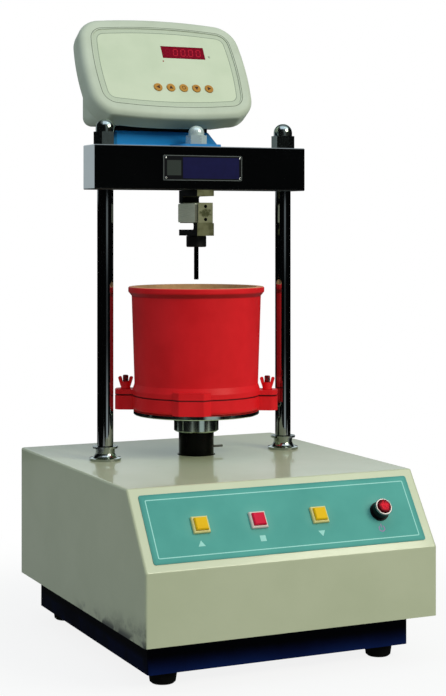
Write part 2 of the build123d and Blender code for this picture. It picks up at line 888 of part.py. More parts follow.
with BuildPart() as indicator_bezel:
    extrude(bezel_outline(face_plane, 0), amount=-bezel_depth)
    front_rim = indicator_bezel.faces().sort_by(face_axis)[-1].edges()
    fillet(front_rim, bezel_round)
    extrude(bezel_outline(face_plane, label_inset - label_gap), amount=-label_recess, mode=Mode.SUBTRACT)
    cavity = bezel_outline(face_plane.offset(-bezel_depth), bezel_wall)
    extrude(cavity, amount=bezel_depth + front_wall_back, mode=Mode.SUBTRACT)
    with BuildSketch(face_plane.offset(label_back)):
        with Locations(display_place):
            Rectangle(display_width + 2 * label_gap, display_height + 2 * label_gap)
        with Locations(*key_places):
            Circle(loose(key_stem_diameter) / 2)
    extrude(amount=-bezel_wall, mode=Mode.SUBTRACT)
save(indicator_bezel, "indicator_bezel")

with BuildPart() as indicator_label:
    extrude(bezel_outline(face_plane.offset(label_back), label_inset), amount=label_thickness)
    with BuildSketch(face_plane.offset(label_back)):
        with Locations(display_place):
            Rectangle(display_width + 2 * label_gap, display_height + 2 * label_gap)
        with Locations(*key_places):
            Circle(loose(key_diameter) / 2)
    extrude(amount=label_thickness, mode=Mode.SUBTRACT)
save(indicator_label, "indicator_label")

with BuildPart() as display_window:
    with BuildSketch(face_plane.offset(label_front)):
        with Locations(display_place):
            Rectangle(display_width, display_height)
    extrude(amount=-display_thickness)
save(display_window, "display_window")

key_bottom = label_back + key_travel + seat_gap
key_stem_end = key_bottom - key_stem_length

for number, place in enumerate(key_places, start=1):
    with BuildPart() as key:
        with BuildSketch(face_plane.offset(key_bottom)):
            with Locations(place):
                Circle(key_diameter / 2)
        extrude(amount=label_front + key_proud - key_bottom)
        chamfer(key.edges().sort_by(face_axis)[-1], key_edge)
        with BuildSketch(face_plane.offset(key_bottom)):
            with Locations(place):
                Circle(key_stem_diameter / 2)
        extrude(amount=-key_stem_length)
    save(key, f"key_{number}")

# Circuit board behind the face, on stand-offs, with digit block and key switches
board_front = front_wall_back - board_depth
digits_front = label_front - display_thickness - digits_gap
switch_front = key_stem_end - key_travel - seat_gap

with BuildPart() as display_board:
    with BuildSketch(face_plane.offset(board_front)):
        with Locations((board_x, 0)):
            Rectangle(board_width, board_height)
    extrude(amount=-board_thickness)
    with BuildSketch(face_plane.offset(board_front)):
        with Locations((board_x, 0)):
            with GridLocations(board_width - 2 * standoff_inset, board_height - 2 * standoff_inset, 2, 2):
                Circle(standoff_diameter / 2)
    extrude(amount=board_depth)
    with BuildSketch(face_plane.offset(board_front)):
        with Locations(display_place):
            Rectangle(display_width - 2 * digits_inset, display_height - 2 * digits_inset)
    extrude(amount=digits_front - board_front)
    with BuildSketch(face_plane.offset(board_front)):
        with Locations(*key_places):
            Rectangle(switch_size, switch_size)
    extrude(amount=switch_front - board_front)
save(display_board, "display_board")


def face_point(up, out):
    """(y, z) of a point given along the leaning face and square to it."""
    spot = face_plane.from_local_coords(Vector(0, up, out))
    return (spot.Y, spot.Z)


wedge_low = face_point(-bezel_tall / 2 + shell_foot_step, -bezel_depth)
wedge_high = face_point(bezel_tall / 2 - shell_top_step, -bezel_depth)
shell_back_y = column_y + shell_back

with BuildPart() as indicator_rear_shell:
    with BuildSketch(Plane.YZ.offset(indicator_x - shell_half_width)):
        with BuildLine():
            Polyline(
                wedge_low,
                (wedge_low[0] + shell_front_slope, shell_bottom),
                (shell_back_y, shell_bottom),
                (shell_back_y, wedge_high[1] - shell_top_step),
                wedge_high,
                close=True,
            )
        make_face()
    extrude(amount=2 * shell_half_width)
    mouth = indicator_rear_shell.faces().filter_by(face_axis).sort_by(SortBy.AREA)[-1]
    fillet(indicator_rear_shell.edges() - mouth.edges(), shell_round)
    mouth = indicator_rear_shell.faces().filter_by(face_axis).sort_by(SortBy.AREA)[-1]
    offset(amount=-shell_wall, openings=mouth)
    extrude(bezel_outline(face_plane.offset(-bezel_depth), shell_lip), amount=-shell_wall)
    mouth_cut = bezel_outline(face_plane.offset(-bezel_depth), shell_mouth_inset)
    extrude(mouth_cut, amount=-shell_wall, mode=Mode.SUBTRACT)
save(indicator_rear_shell, "indicator_rear_shell")

# Folded bracket: a tongue under the centre nut, a sloping web and a shelf
web_angle = atan2(bracket_rise - bracket_thickness, bracket_web_end - bracket_foot_half)
bend_shift = bracket_thickness * tan(web_angle / 2)
foot_top = beam_top + bracket_thickness
shelf_under = bracket_top - bracket_thickness
web_front = column_y + bracket_foot_half - bend_shift

with BuildPart() as indicator_bracket:
    with BuildSketch(Plane.YZ.offset(-bracket_left)):
        with BuildLine():
            Polyline(
                (web_front, beam_top),
                (column_y + bracket_foot_half, beam_top),
                (column_y + bracket_web_end, shelf_under),
                (column_y + bracket_end, shelf_under),
                (column_y + bracket_end, bracket_top),
                (column_y + bracket_web_end - bend_shift, bracket_top),
                (web_front, foot_top),
                close=True,
            )
        make_face()
    extrude(amount=bracket_left + bracket_right)
    tongue_length = web_front - column_y + bracket_foot_half
    with Locations((0, web_front - tongue_length / 2, beam_top)):
        Box(bracket_foot_width, tongue_length, bracket_thickness, align=upright)
    corners = indicator_bracket.edges().filter_by(Axis.Z).group_by(Axis.Y)
    fillet(corners[0] + corners[-1], bracket_corner)
    bar(axis_place, seat(stud_diameter), beam_top, foot_top, Mode.SUBTRACT)
save(indicator_bracket, "indicator_bracket")

with BuildPart() as indicator_feet:
    for behind in (indicator_foot_front, indicator_foot_rear):
        with Locations((indicator_x, column_y + behind, bracket_top)):
            Box(indicator_foot_length, indicator_foot_depth, indicator_foot_height, align=upright)
save(indicator_feet, "indicator_feet")

# Lift: hollow ram with its nut, collar, stop pin and platen
with BuildPart() as ram:
    bar(axis_place, ram_diameter, ram_bottom, platen_bottom)
    bar(axis_place, ram_bore, ram_bottom, ram_bottom + ram_bore_depth, Mode.SUBTRACT)
    with BuildSketch(Plane.YZ.offset(ram_diameter / 2 - pin_root)):
        with Locations((column_y, cabinet_top + pin_rise)):
            Circle(seat(pin_diameter) / 2)
    extrude(amount=pin_root, mode=Mode.SUBTRACT)
save(ram, "ram")

with BuildPart() as ram_pin:
    with BuildSketch(Plane.YZ.offset(ram_diameter / 2 - pin_root)):
        with Locations((column_y, cabinet_top + pin_rise)):
            Circle(pin_diameter / 2)
    extrude(amount=pin_root + pin_reach - ram_diameter / 2)
save(ram_pin, "ram_pin")

with BuildPart() as ram_nut:
    bar(axis_place, ram_bore - 2 * seat_gap, ram_bottom, ram_bottom + nut_height)
    bar(axis_place, running(screw_diameter), ram_bottom, ram_bottom + nut_height, Mode.SUBTRACT)
save(ram_nut, "ram_nut")

with BuildPart() as ram_collar:
    bar(axis_place, ram_collar_diameter, ram_collar_bottom, platen_bottom)
    chamfer(ram_collar.edges().group_by(Axis.Z)[0], ram_collar_chamfer)
    bar(axis_place, seat(ram_diameter), ram_collar_bottom, platen_bottom, Mode.SUBTRACT)
save(ram_collar, "ram_collar")

with BuildPart() as platen:
    bar(axis_place, platen_diameter, platen_bottom, mould_bottom)
    chamfer(platen.edges().filter_by(GeomType.CIRCLE), platen_edge)
save(platen, "platen")

# Drive: screw, bearing, guide, pulleys, belt and gearmotor
bearing_top = plate_top + bearing_height
pulley_low = belt_height - belt_width / 2 - belt_side_gap - pulley_cheek
pulley_high = belt_height + belt_width / 2 + belt_side_gap + pulley_cheek

with BuildPart() as lead_screw:
    bar(axis_place, journal_diameter, pulley_low, bearing_top)
    bar(axis_place, screw_collar_diameter, bearing_top, bearing_top + screw_collar_height)
    bar(axis_place, screw_diameter, bearing_top, cabinet_top - screw_top_below_cabinet)
save(lead_screw, "lead_screw")

with BuildPart() as thrust_bearing:
    bar(axis_place, bearing_diameter, plate_top, bearing_top)
    bar(axis_place, running(journal_diameter), plate_top, bearing_top, Mode.SUBTRACT)
save(thrust_bearing, "thrust_bearing")

guide_top = cabinet_top - guide_below_cabinet

with BuildPart() as guide_housing:
    bar(axis_place, guide_flange_diameter, plate_top, plate_top + guide_flange_height)
    bar(axis_place, guide_outer, plate_top, guide_top)
    bar(axis_place, guide_bore, plate_top, guide_top, Mode.SUBTRACT)
    with BuildSketch(Plane.XY.offset(plate_top)):
        with Locations(axis_place):
            with PolarLocations(guide_bolt_circle / 2, guide_bolt_count, start_angle=45):
                Circle(guide_bolt_hole / 2)
    extrude(amount=guide_flange_height, mode=Mode.SUBTRACT)
save(guide_housing, "guide_housing")

with BuildPart() as guide_bush:
    bar(axis_place, guide_bore - 2 * seat_gap, guide_top - bush_height, guide_top)
    bar(axis_place, bush_flange_diameter, guide_top, guide_top + bush_flange)
    bush_low = guide_top - bush_height
    bar(axis_place, running(ram_diameter), bush_low, guide_top + bush_flange, Mode.SUBTRACT)
save(guide_bush, "guide_bush")


def pulley(place, radius):
    """Flat-rimmed pulley with a cheek above and below the belt, added to the open part."""
    bar(place, 2 * (radius + pulley_lip), pulley_low, pulley_low + pulley_cheek)
    bar(place, 2 * radius, pulley_low, pulley_high)
    bar(place, 2 * (radius + pulley_lip), pulley_high - pulley_cheek, pulley_high)


with BuildPart() as driven_pulley:
    pulley(axis_place, driven_radius)
    bar(axis_place, seat(journal_diameter), pulley_low, pulley_high, Mode.SUBTRACT)
save(driven_pulley, "driven_pulley")

with BuildPart() as motor_pulley:
    pulley(motor_place, driver_radius)
    bar(motor_place, motor_shaft, pulley_low, plate_top + motor_shaft_reach)
save(motor_pulley, "motor_pulley")

with BuildPart() as drive_belt:
    for reach, mode in ((running_gap + belt_thickness, Mode.ADD), (running_gap, Mode.SUBTRACT)):
        with BuildSketch(Plane.XY.offset(belt_height - belt_width / 2)):
            with Locations(axis_place):
                Circle(driven_radius + reach)
            with Locations(motor_place):
                Circle(driver_radius + reach)
            make_hull()
        extrude(amount=belt_width, mode=mode)
save(drive_belt, "drive_belt")

gearbox_top = plate_top + gearbox_height
motor_top = gearbox_top + motor_height

with BuildPart() as gearmotor:
    with BuildSketch(Plane.XY.offset(plate_top)):
        with Locations(motor_place):
            RectangleRounded(gearbox_size, gearbox_size, gearbox_edge)
    extrude(amount=gearbox_height)
    bar(motor_place, motor_diameter, gearbox_top, motor_top)
    bar(motor_place, motor_diameter + 2 * motor_cap_step, motor_top, motor_top + motor_cap_height)
    bore_top = plate_top + motor_shaft_reach + loose_gap
    bar(motor_place, running(motor_shaft), plate_top, bore_top, Mode.SUBTRACT)
save(gearmotor, "gearmotor")

# Mould: base with locating dogs, tapered cup, studs and wing nuts
lug_top = seam + flange_height
dog_top = lug_top + dog_rise
stud_places = [(-mould_stud_radius, 0), (mould_stud_radius, 0)]
stud_top = lug_top + mould_stud_rise


def lug_sketch(height, holes):
    """Two rounded lugs that reach out left and right of the mould, with stud holes."""
    with BuildSketch(mould_plane.offset(height)) as lugs:
        RectangleRounded(2 * lug_reach, lug_width, lug_corner)
        Circle(cup_outer_bottom / 2 - seam_chamfer, mode=Mode.SUBTRACT)
        with Locations(*stud_places):
            Circle(holes / 2, mode=Mode.SUBTRACT)
    return lugs.sketch


with BuildPart() as mould_base:
    bar(axis_place, flange_diameter, mould_bottom, seam)
    fillet(mould_base.edges().group_by(Axis.Z)[0], mould_base_round)
    chamfer(mould_base.edges().group_by(Axis.Z)[-1], seam_chamfer)
    extrude(lug_sketch(mould_bottom, seat(mould_stud_diameter)), amount=mould_base_thickness - lug_gap)
    with BuildSketch(mould_plane.offset(mould_bottom)) as dogs:
        with BuildLine():
            Polyline(
                (-dog_root_width / 2, -dog_root),
                (-dog_width / 2, -dog_reach),
                (dog_width / 2, -dog_reach),
                (dog_root_width / 2, -dog_root),
                (0, 0),
                close=True,
            )
        make_face()
        fillet(dogs.vertices().group_by(Axis.Y)[0], dog_corner)
        mirror(about=Plane.XZ)
        Circle(cup_outer_bottom / 2 - mould_base_round, mode=Mode.SUBTRACT)
    extrude(amount=dog_top - mould_bottom)
    bar(axis_place, flange_diameter + 2 * dog_gap, seam, dog_top, Mode.SUBTRACT)
    bar(axis_place, cup_bore_bottom, seam - mould_recess, seam, Mode.SUBTRACT)
save(mould_base, "mould_base")

lip_bottom = rim - lip_height
cup_profile = [
    (cup_bore_bottom / 2, seam),
    (flange_diameter / 2 - seam_chamfer, seam),
    (flange_diameter / 2, seam + seam_chamfer),
    (flange_diameter / 2, lug_top),
    (cup_outer_bottom / 2, lug_top + flare_height),
    (cup_outer_top / 2, lip_bottom),
    (lip_diameter / 2, lip_bottom + lip_taper),
    (lip_diameter / 2, rim),
    (cup_bore_top / 2, rim),
]

with BuildPart() as mould_cup:
    with BuildSketch(Plane.XZ.offset(-column_y)):
        with BuildLine():
            Polyline(*cup_profile, close=True)
        make_face()
    revolve(axis=vertical_axis)
    lip_edges = mould_cup.edges().filter_by(GeomType.CIRCLE)
    fillet([edge for edge in lip_edges if edge.radius > (cup_outer_top + lip_diameter) / 4], lip_round)
    extrude(lug_sketch(seam, loose(mould_stud_diameter)), amount=flange_height)
save(mould_cup, "mould_cup")

with BuildPart() as mould_studs:
    with BuildSketch(mould_plane.offset(mould_bottom)):
        with Locations(*stud_places):
            Circle(mould_stud_diameter / 2)
    extrude(amount=stud_top - mould_bottom)
save(mould_studs, "mould_studs")

for name, side in (("wing_nut_left", -1), ("wing_nut_right", 1)):
    nut_low = lug_top + loose_gap
    wing_plane = Plane(
        origin=mould_plane.from_local_coords(Vector(side * mould_stud_radius, 0, nut_low)),
        x_dir=mould_plane.x_dir,
        z_dir=-mould_plane.y_dir,
    )
    with BuildPart() as wing_nut:
        with BuildSketch(wing_plane):
            with BuildLine():
                Polyline(
                    (0, 0),
                    (wing_hub_bottom / 2, 0),
                    (wing_hub_top / 2, wing_hub_height),
                    (0, wing_hub_height),
                    close=True,
                )
            make_face()
        revolve(axis=Axis(wing_plane.origin, (0, 0, 1)))
        with BuildSketch(wing_plane) as wings:
            with BuildLine():
                Polyline(
                    (-wing_hub_bottom / 2, wing_hub_height / 3),
                    (wing_hub_bottom / 2, wing_hub_height / 3),
                    (wing_reach, wing_rise),
                    (wing_hub_top / 2, wing_rise),
                    (mould_stud_diameter / 2, wing_hub_height),
                    (-mould_stud_diameter / 2, wing_hub_height),
                    (-wing_hub_top / 2, wing_rise),
                    (-wing_reach, wing_rise),
                    close=True,
                )
            make_face()
            fillet(wings.vertices().group_by(Axis.Y)[-1], wing_round)
        extrude(amount=wing_thickness / 2, both=True)
        stud_low = (wing_plane.origin.X, wing_plane.origin.Y)
        bar(stud_low, running(mould_stud_diameter), nut_low, nut_low + wing_rise, Mode.SUBTRACT)
    save(wing_nut, name)
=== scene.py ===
import bpy
import math
import numpy as np
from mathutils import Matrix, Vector


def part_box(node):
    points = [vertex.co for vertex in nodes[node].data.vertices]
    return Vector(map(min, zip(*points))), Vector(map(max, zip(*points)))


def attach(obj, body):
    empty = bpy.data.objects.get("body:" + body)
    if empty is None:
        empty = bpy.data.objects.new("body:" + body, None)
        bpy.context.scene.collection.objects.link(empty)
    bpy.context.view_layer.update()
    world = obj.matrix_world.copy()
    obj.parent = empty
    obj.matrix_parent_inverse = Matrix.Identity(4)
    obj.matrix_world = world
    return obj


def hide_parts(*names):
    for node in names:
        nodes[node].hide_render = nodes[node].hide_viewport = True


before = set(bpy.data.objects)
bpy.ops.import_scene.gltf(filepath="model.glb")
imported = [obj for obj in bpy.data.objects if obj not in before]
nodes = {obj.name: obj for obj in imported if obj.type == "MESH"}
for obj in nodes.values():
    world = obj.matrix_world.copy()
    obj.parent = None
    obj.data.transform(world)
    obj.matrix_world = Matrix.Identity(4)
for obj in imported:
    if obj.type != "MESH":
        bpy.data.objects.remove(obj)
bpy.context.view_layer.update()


def node_middle(name):
    """Middle of a node's box: half the sum of its lowest and highest corner."""
    low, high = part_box(name)
    return (low + high) / 2


# Places on the machine, in metres, from the frame where a node's box gives them
right = np.array([1.0, 0.0, 0.0])
both_sides = (-1, 1)
cabinet_low, cabinet_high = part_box("cabinet_cover")
cabinet_left, cabinet_front, cabinet_bottom = cabinet_low
cabinet_back, cabinet_top = cabinet_high.y, cabinet_high.z
plinth_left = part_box("base_pan")[0].x
slope_run, slope_rise = 0.060, 0.086
slope_angle = math.atan2(slope_rise, slope_run)
slope_middle = np.array([0.0, cabinet_front + slope_run / 2, cabinet_top - slope_rise / 2])
slope_up = np.array([0.0, math.cos(slope_angle), math.sin(slope_angle)])
slope_out = np.array([0.0, -math.sin(slope_angle), math.cos(slope_angle)])
slope_plane = (slope_middle, right, slope_up, slope_out)
yellow_xs = (node_middle("up_button").x, node_middle("down_button").x)
stop_x = node_middle("stop_button").x
power_x, power_y = node_middle("power_button").x, -0.002
column_y = node_middle("left_column").y
beam_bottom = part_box("crosshead")[0].z
nameplate_front, nameplate_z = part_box("nameplate")[0].y, node_middle("nameplate").z
cell_left, cell_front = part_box("load_cell")[0].xy
cell_cover_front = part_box("cell_covers")[0].y
cell_hole_zs = (0.5375, 0.5545)
cell_block_zs = (0.5335, 0.5589)
cell_slot_ys, cell_slot_zs = (0.0815, 0.0925), (0.5589, 0.5678)
mould_turn = math.radians(-28)
seam_z, rim_z = (corner.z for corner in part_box("mould_cup"))
bore_at_seam, bore_at_rim = 0.0750, 0.0800
lean = math.radians(30)
bezel_low, bezel_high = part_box("indicator_bezel")
face_middle = np.array([(bezel_low.x + bezel_high.x) / 2, 0.1036, 0.7415])
face_up = np.array([0.0, math.sin(lean), math.cos(lean)])
face_out = np.array([0.0, -math.cos(lean), math.sin(lean)])
face_plane = (face_middle, right, face_up, face_out)
face_half_wide, face_half_tall = (bezel_high.x - bezel_low.x) / 2, 0.08025
face_side_bulge, face_top_bulge, face_corner = 0.007, 0.008, 0.036


def srgb(red, green, blue):
    """Linear colour of an 8-bit screen colour: ((c + 0.055) / 1.055) to the power 2.4."""
    c = np.array([red, green, blue]) / 255.0
    linear = np.where(c < 0.04045, c / 12.92, ((c + 0.055) / 1.055) ** 2.4)
    return (*[float(v) for v in linear], 1.0)


def dimmed(colour, share):
    """The colour with its three channels times a share."""
    return tuple(share * c for c in colour[:3]) + (1.0,)


# Shader arithmetic


class Value:
    """A shader value held by one output socket; arithmetic on it adds Math nodes."""

    def __init__(self, graph, socket):
        self.graph = graph
        self.socket = socket

    def __add__(self, other):
        return self.graph.math("ADD", self, other)

    __radd__ = __add__

    def __sub__(self, other):
        return self.graph.math("SUBTRACT", self, other)

    def __rsub__(self, other):
        return self.graph.math("SUBTRACT", other, self)

    def __mul__(self, other):
        return self.graph.math("MULTIPLY", self, other)

    __rmul__ = __mul__

    def __truediv__(self, other):
        return self.graph.math("DIVIDE", self, other)

    def __rtruediv__(self, other):
        return self.graph.math("DIVIDE", other, self)

    def __neg__(self):
        return self.graph.math("MULTIPLY", self, -1.0)

    def __abs__(self):
        return self.graph.math("ABSOLUTE", self)


class Graph:
    """A node tree that is written as expressions."""

    def __init__(self, tree):
        self.tree = tree

    def node(self, kind, settings=None, inputs=None, out=0):
        """Add a node, set its settings, then its sockets, and return one output as a Value."""
        made = self.tree.nodes.new(kind)
        for name, value in (settings or {}).items():
            setattr(made, name, value)
        for name, value in (inputs or {}).items():
            if isinstance(value, Value):
                self.tree.links.new(value.socket, made.inputs[name])
            else:
                made.inputs[name].default_value = value
        return Value(self, made.outputs[out])

    def math(self, operation, *values):
        """One Math node on one or two values."""
        return self.node("ShaderNodeMath", {"operation": operation}, dict(enumerate(values)))

    def least(self, first, second):
        return self.math("MINIMUM", first, second)

    def most(self, first, second):
        return self.math("MAXIMUM", first, second)

    def reach(self, across, up):
        """Distance in a plane: the root of across squared plus up squared."""
        return self.math("SQRT", across * across + up * up)

    def step(self, value, low, high):
        """Smooth step: 0 where value is low, 1 where it is high, eased between."""
        inputs = {"Value": value, "From Min": low, "From Max": high}
        return self.node("ShaderNodeMapRange", {"interpolation_type": "SMOOTHSTEP"}, inputs)

    def fall(self, value, low, high):
        """Smooth step turned over: 1 where value is low, 0 where it is high."""
        return 1.0 - self.step(value, low, high)

    def between(self, value, low, high, soft):
        """1 from low to high and 0 elsewhere, eased over a soft width after each of the two."""
        return self.step(value, low, low + soft) * self.fall(value, high, high + soft)

    def mix(self, share, first, second):
        """Colour that goes from first to second as share goes from 0 to 1."""
        return self.node("ShaderNodeMix", {"data_type": "RGBA"}, {0: share, 6: first, 7: second}, out=2)

    def rays(self):
        """1 for rays from the camera, and 1 for rays by way of metal or glass, else 0."""
        camera_ray, glossy, through = (
            self.node("ShaderNodeLightPath", out=name)
            for name in ("Is Camera Ray", "Is Glossy Ray", "Is Transmission Ray")
        )
        return camera_ray, self.most(glossy, through)


class Finish(Graph):
    """A material whose colour, gloss and grain are functions of the place on the object."""

    def __init__(self, name):
        self.material = bpy.data.materials.new(name)
        self.material.use_nodes = True
        super().__init__(self.material.node_tree)
        self.shader = self.tree.nodes["Principled BSDF"]
        self.place = self.node("ShaderNodeTexCoord", out="Object")
        self.x, self.y, self.z = (
            self.node("ShaderNodeSeparateXYZ", inputs={0: self.place}, out=i) for i in range(3)
        )

    def noise(self, scale, detail=3.0, rough=0.55, stretch=None, warp=0.0):
        """Fractal noise from 0 to 1 at so many features per metre; stretch scales each axis."""
        place = self.place
        if stretch:
            place = self.node("ShaderNodeMapping", inputs={"Vector": place, "Scale": stretch})
        inputs = {
            "Vector": place,
            "Scale": scale,
            "Detail": detail,
            "Roughness": rough,
            "Distortion": warp,
        }
        return self.node("ShaderNodeTexNoise", inputs=inputs)

    def along(self, origin, direction):
        """Distance from a point measured along a unit direction, in metres."""
        subtract, dot = {"operation": "SUBTRACT"}, {"operation": "DOT_PRODUCT"}
        away = self.node("ShaderNodeVectorMath", subtract, {0: self.place, 1: tuple(origin)})
        return self.node("ShaderNodeVectorMath", dot, {0: away, 1: tuple(direction)}, out="Value")

    def bump(self, height, depth, strength=1.0):
        """Normal tilted by a height field of so many metres of relief."""
        inputs = {"Height": height, "Distance": depth, "Strength": strength}
        return self.node("ShaderNodeBump", inputs=inputs)

    def shade(self, **sockets):
        """Set or link the shader's sockets; names use _ for a space."""
        for name, value in sockets.items():
            socket = self.shader.inputs[name.replace("_", " ")]
            if isinstance(value, Value):
                self.tree.links.new(value.socket, socket)
            else:
                socket.default_value = value
        return self.material


def cabinet_left_dark_patches(f, tone):
    """Darker patches on the cabinet's left side: a patch that rises towards the front, and a band along the
    lower edge.
    """
    left_side = f.fall(f.x, cabinet_left + 0.0005, cabinet_left + 0.0020)
    patch = 0.30 + 0.70 * f.step(f.noise(46.0, detail=5.0, rough=0.65), 0.40, 0.62)
    rising_dark_patch = f.fall(f.z + 0.08 * f.y, 0.042, 0.078) * f.step(-f.y, -0.03, 0.16) * patch * 0.80
    lower_edge_dark_band = f.fall(f.z, cabinet_bottom + 0.001, cabinet_bottom + 0.015) * f.step(-f.y, -0.02, 0.05)
    lower_edge_dark_band = lower_edge_dark_band * f.step(f.noise(27.0, detail=4.0, rough=0.6), 0.40, 0.56)
    return f.mix(f.most(rising_dark_patch, lower_edge_dark_band) * left_side, tone, srgb(28, 40, 26))


def plinth_painted_shade(f, tone):
    """Painted shade on the plinth: black under the cabinet's edge, thinner downwards, and on the left side,
    where shade falls.
    """
    left_side = f.fall(f.x, plinth_left + 0.0002, plinth_left + 0.0020)
    patch = 0.80 + 0.20 * f.step(f.noise(20.0, detail=4.0), 0.35, 0.60)
    overhang_shade = f.step(f.z + 0.004 * f.noise(60.0), 0.014, 0.041)
    # Painted shade: the overhang's shadow at the top and the shaded left side, both near black
    film = f.most(left_side * patch * 0.90, overhang_shade * 0.97)
    return f.mix(film, tone, (0.0010, 0.0010, 0.0011, 1.0))


def powder_coat(name, colour, shadow, gloss, coat=0.22, shine=0.35, coat_rough=0.10, darkening=None):
    """Sprayed and baked paint: cloudy tone, orange-peel relief, faint scuffs, and an optional darkening laid
    over the tone.
    """
    f = Finish(name)
    cloud = f.noise(9.0, detail=4.0)
    speck = f.noise(420.0, detail=2.0)
    scuff = f.step(f.noise(34.0, detail=6.0, rough=0.7, stretch=(1.0, 1.0, 5.0)), 0.66, 0.74)
    tone = f.mix(f.step(cloud, 0.35, 0.7), colour, shadow)
    if darkening:
        tone = darkening(f, tone)
    return f.shade(
        Base_Color=f.mix(scuff * 0.12, tone, dimmed(colour, 0.75)),
        Roughness=gloss + 0.10 * cloud + 0.12 * scuff,
        Coat_Weight=coat,
        Coat_Roughness=coat_rough,
        Specular_IOR_Level=shine,
        Normal=f.bump(speck, depth=0.00005, strength=0.6),
    )


def plated(name, colour, rough, grain, wear=1.0, dull_below=None, metal=1.0):
    """Bright metal: fine lines drawn along one axis, finger smudges, faint spots, dark and dull below a
    height.
    """
    f = Finish(name)
    line = f.noise(1.0, rough=0.6, stretch=grain)
    smudge = f.step(f.noise(17.0, detail=4.0, rough=0.6, warp=0.6), 0.48, 0.75)
    spot = f.step(f.noise(260.0, detail=2.0), 0.70, 0.78)
    tone = f.mix(0.25 * smudge + 0.45 * spot, colour, dimmed(colour, 0.72))
    gloss = rough + wear * (0.05 * line + 0.07 * smudge + 0.12 * spot)
    if dull_below:
        dark_below = f.fall(f.z, dull_below - 0.0002, dull_below + 0.0002)
        tone = f.mix(dark_below, tone, (0.04, 0.045, 0.045, 1.0))
        gloss = gloss + 0.35 * dark_below
    relief = f.bump(line, depth=0.000012, strength=0.5)
    return f.shade(Base_Color=tone, Metallic=metal, Roughness=gloss, Normal=relief)


def moulded(name, colour, shadow, rough, grain=900.0, shine=0.35):
    """Injection-moulded plastic: a fine spark-eroded grain with a slightly uneven sheen."""
    f = Finish(name)
    cloud = f.noise(21.0)
    leather = f.noise(grain, rough=0.65)
    return f.shade(
        Base_Color=f.mix(f.step(cloud, 0.3, 0.75), colour, shadow),
        Roughness=rough + 0.10 * cloud - 0.06 * leather,
        Specular_IOR_Level=shine,
        Normal=f.bump(leather, depth=0.00006, strength=0.5),
    )


def casting_paint():
    """Red gloss over a sand casting: pebbled relief, chipped rim, a dark seam, painted shade under the lip, a
    bare stained bore.
    """
    f = Finish("mould_red")
    pebble = f.noise(240.0, detail=4.0, rough=0.6)
    swell = f.noise(38.0)
    cloud = f.noise(14.0)
    far = f.reach(f.x, f.y - column_y)
    bore = bore_at_seam + (f.z - seam_z) * ((bore_at_rim - bore_at_seam) / (rim_z - seam_z))
    inside = f.fall(far - bore, 0.0002, 0.0009)
    on_top = f.step(f.z, rim_z - 0.0006, rim_z - 0.0001)
    chips = f.step(f.noise(120.0, detail=5.0, rough=0.7), 0.66, 0.72)
    chips = chips * f.step(f.z, rim_z - 0.004, rim_z - 0.0005)
    red = f.mix(f.step(cloud, 0.35, 0.7), srgb(234, 26, 34), srgb(220, 17, 25))
    bare = f.mix(f.noise(90.0, detail=5.0, rough=0.65), srgb(232, 190, 142), srgb(176, 134, 92))
    worn = f.least(f.most(inside, f.most(on_top * 0.8, chips * 0.5)), 1.0)
    groove = f.fall(abs(f.z - seam_z), 0.0006, 0.0012) * f.step(far, 0.0795, 0.0805)
    # Painted shade under the rim's lip, where the lip shades the wall
    under_lip_shade = f.step(f.z, rim_z - 0.0140, rim_z - 0.0118) * f.fall(f.z, rim_z - 0.0085, rim_z - 0.0065)
    seam_dark_and_lip_shade = f.most(groove * 0.85, under_lip_shade * (1.0 - inside) * 0.45)
    return f.shade(
        Base_Color=f.mix(seam_dark_and_lip_shade, f.mix(worn, red, bare), srgb(44, 6, 8)),
        Roughness=0.40 + 0.12 * cloud + 0.28 * worn,
        Specular_IOR_Level=0.22,
        Normal=f.bump(pebble + swell * 3.0, depth=0.00022, strength=0.55),
    )


def panel_film():
    """Printed polyester film: matt teal, a faint weave, a darker edge, a rubbed patch round each button."""
    f = Finish("panel_teal")
    threads = 4200.0
    up = f.along(slope_middle, slope_up)
    cloud = f.noise(16.0)
    weave = f.math("SINE", f.x * threads) * f.math("SINE", up * threads)
    rub = 0.0
    for place in (*yellow_xs, stop_x, power_x):
        rub = rub + f.fall(f.reach(f.x - place, up), 0.010, 0.026)
    tone = f.mix(f.step(cloud, 0.3, 0.75), srgb(86, 170, 160), srgb(78, 160, 151))
    edge = f.most(f.step(abs(f.x), 0.1735, 0.1765), f.step(abs(up), 0.0395, 0.0425))
    tone = f.mix(edge * 0.25, tone, srgb(52, 112, 112))
    return f.shade(
        Base_Color=f.mix(rub * 0.08, tone, srgb(150, 205, 190)),
        Roughness=0.50 + 0.10 * cloud - 0.10 * rub,
        Specular_IOR_Level=0.2,
        Normal=f.bump(weave, depth=0.000008, strength=0.5),
    )


def nameplate_metal():
    """Anodised plate with bare fields: silver rim, pale square field, long indigo field."""
    f = Finish("nameplate_indigo")
    edge = 0.0003
    high = abs(f.z - nameplate_z)
    line = f.noise(1.0, rough=0.6, stretch=(30.0, 900.0, 2600.0))
    rim = f.most(f.step(abs(f.x), 0.0553, 0.0556), f.step(high, 0.0153, 0.0156))
    long_field = f.between(f.x, -0.0290, 0.0520, edge) * f.fall(high, 0.0136, 0.0138)
    square = f.between(f.x, -0.0515, -0.0315, edge) * f.fall(high, 0.0098, 0.0100)
    tone = f.mix(rim, srgb(8, 10, 16), srgb(100, 106, 108))
    tone = f.mix(long_field, tone, f.mix(f.noise(120.0), srgb(22, 22, 74), srgb(16, 16, 60)))
    tone = f.mix(square, tone, srgb(54, 60, 56))
    return f.shade(
        Base_Color=tone,
        Metallic=0.95 * rim,
        Roughness=0.42 + 0.10 * line,
        Specular_IOR_Level=0.1,
        Normal=f.bump(line, depth=0.00001, strength=0.4),
    )


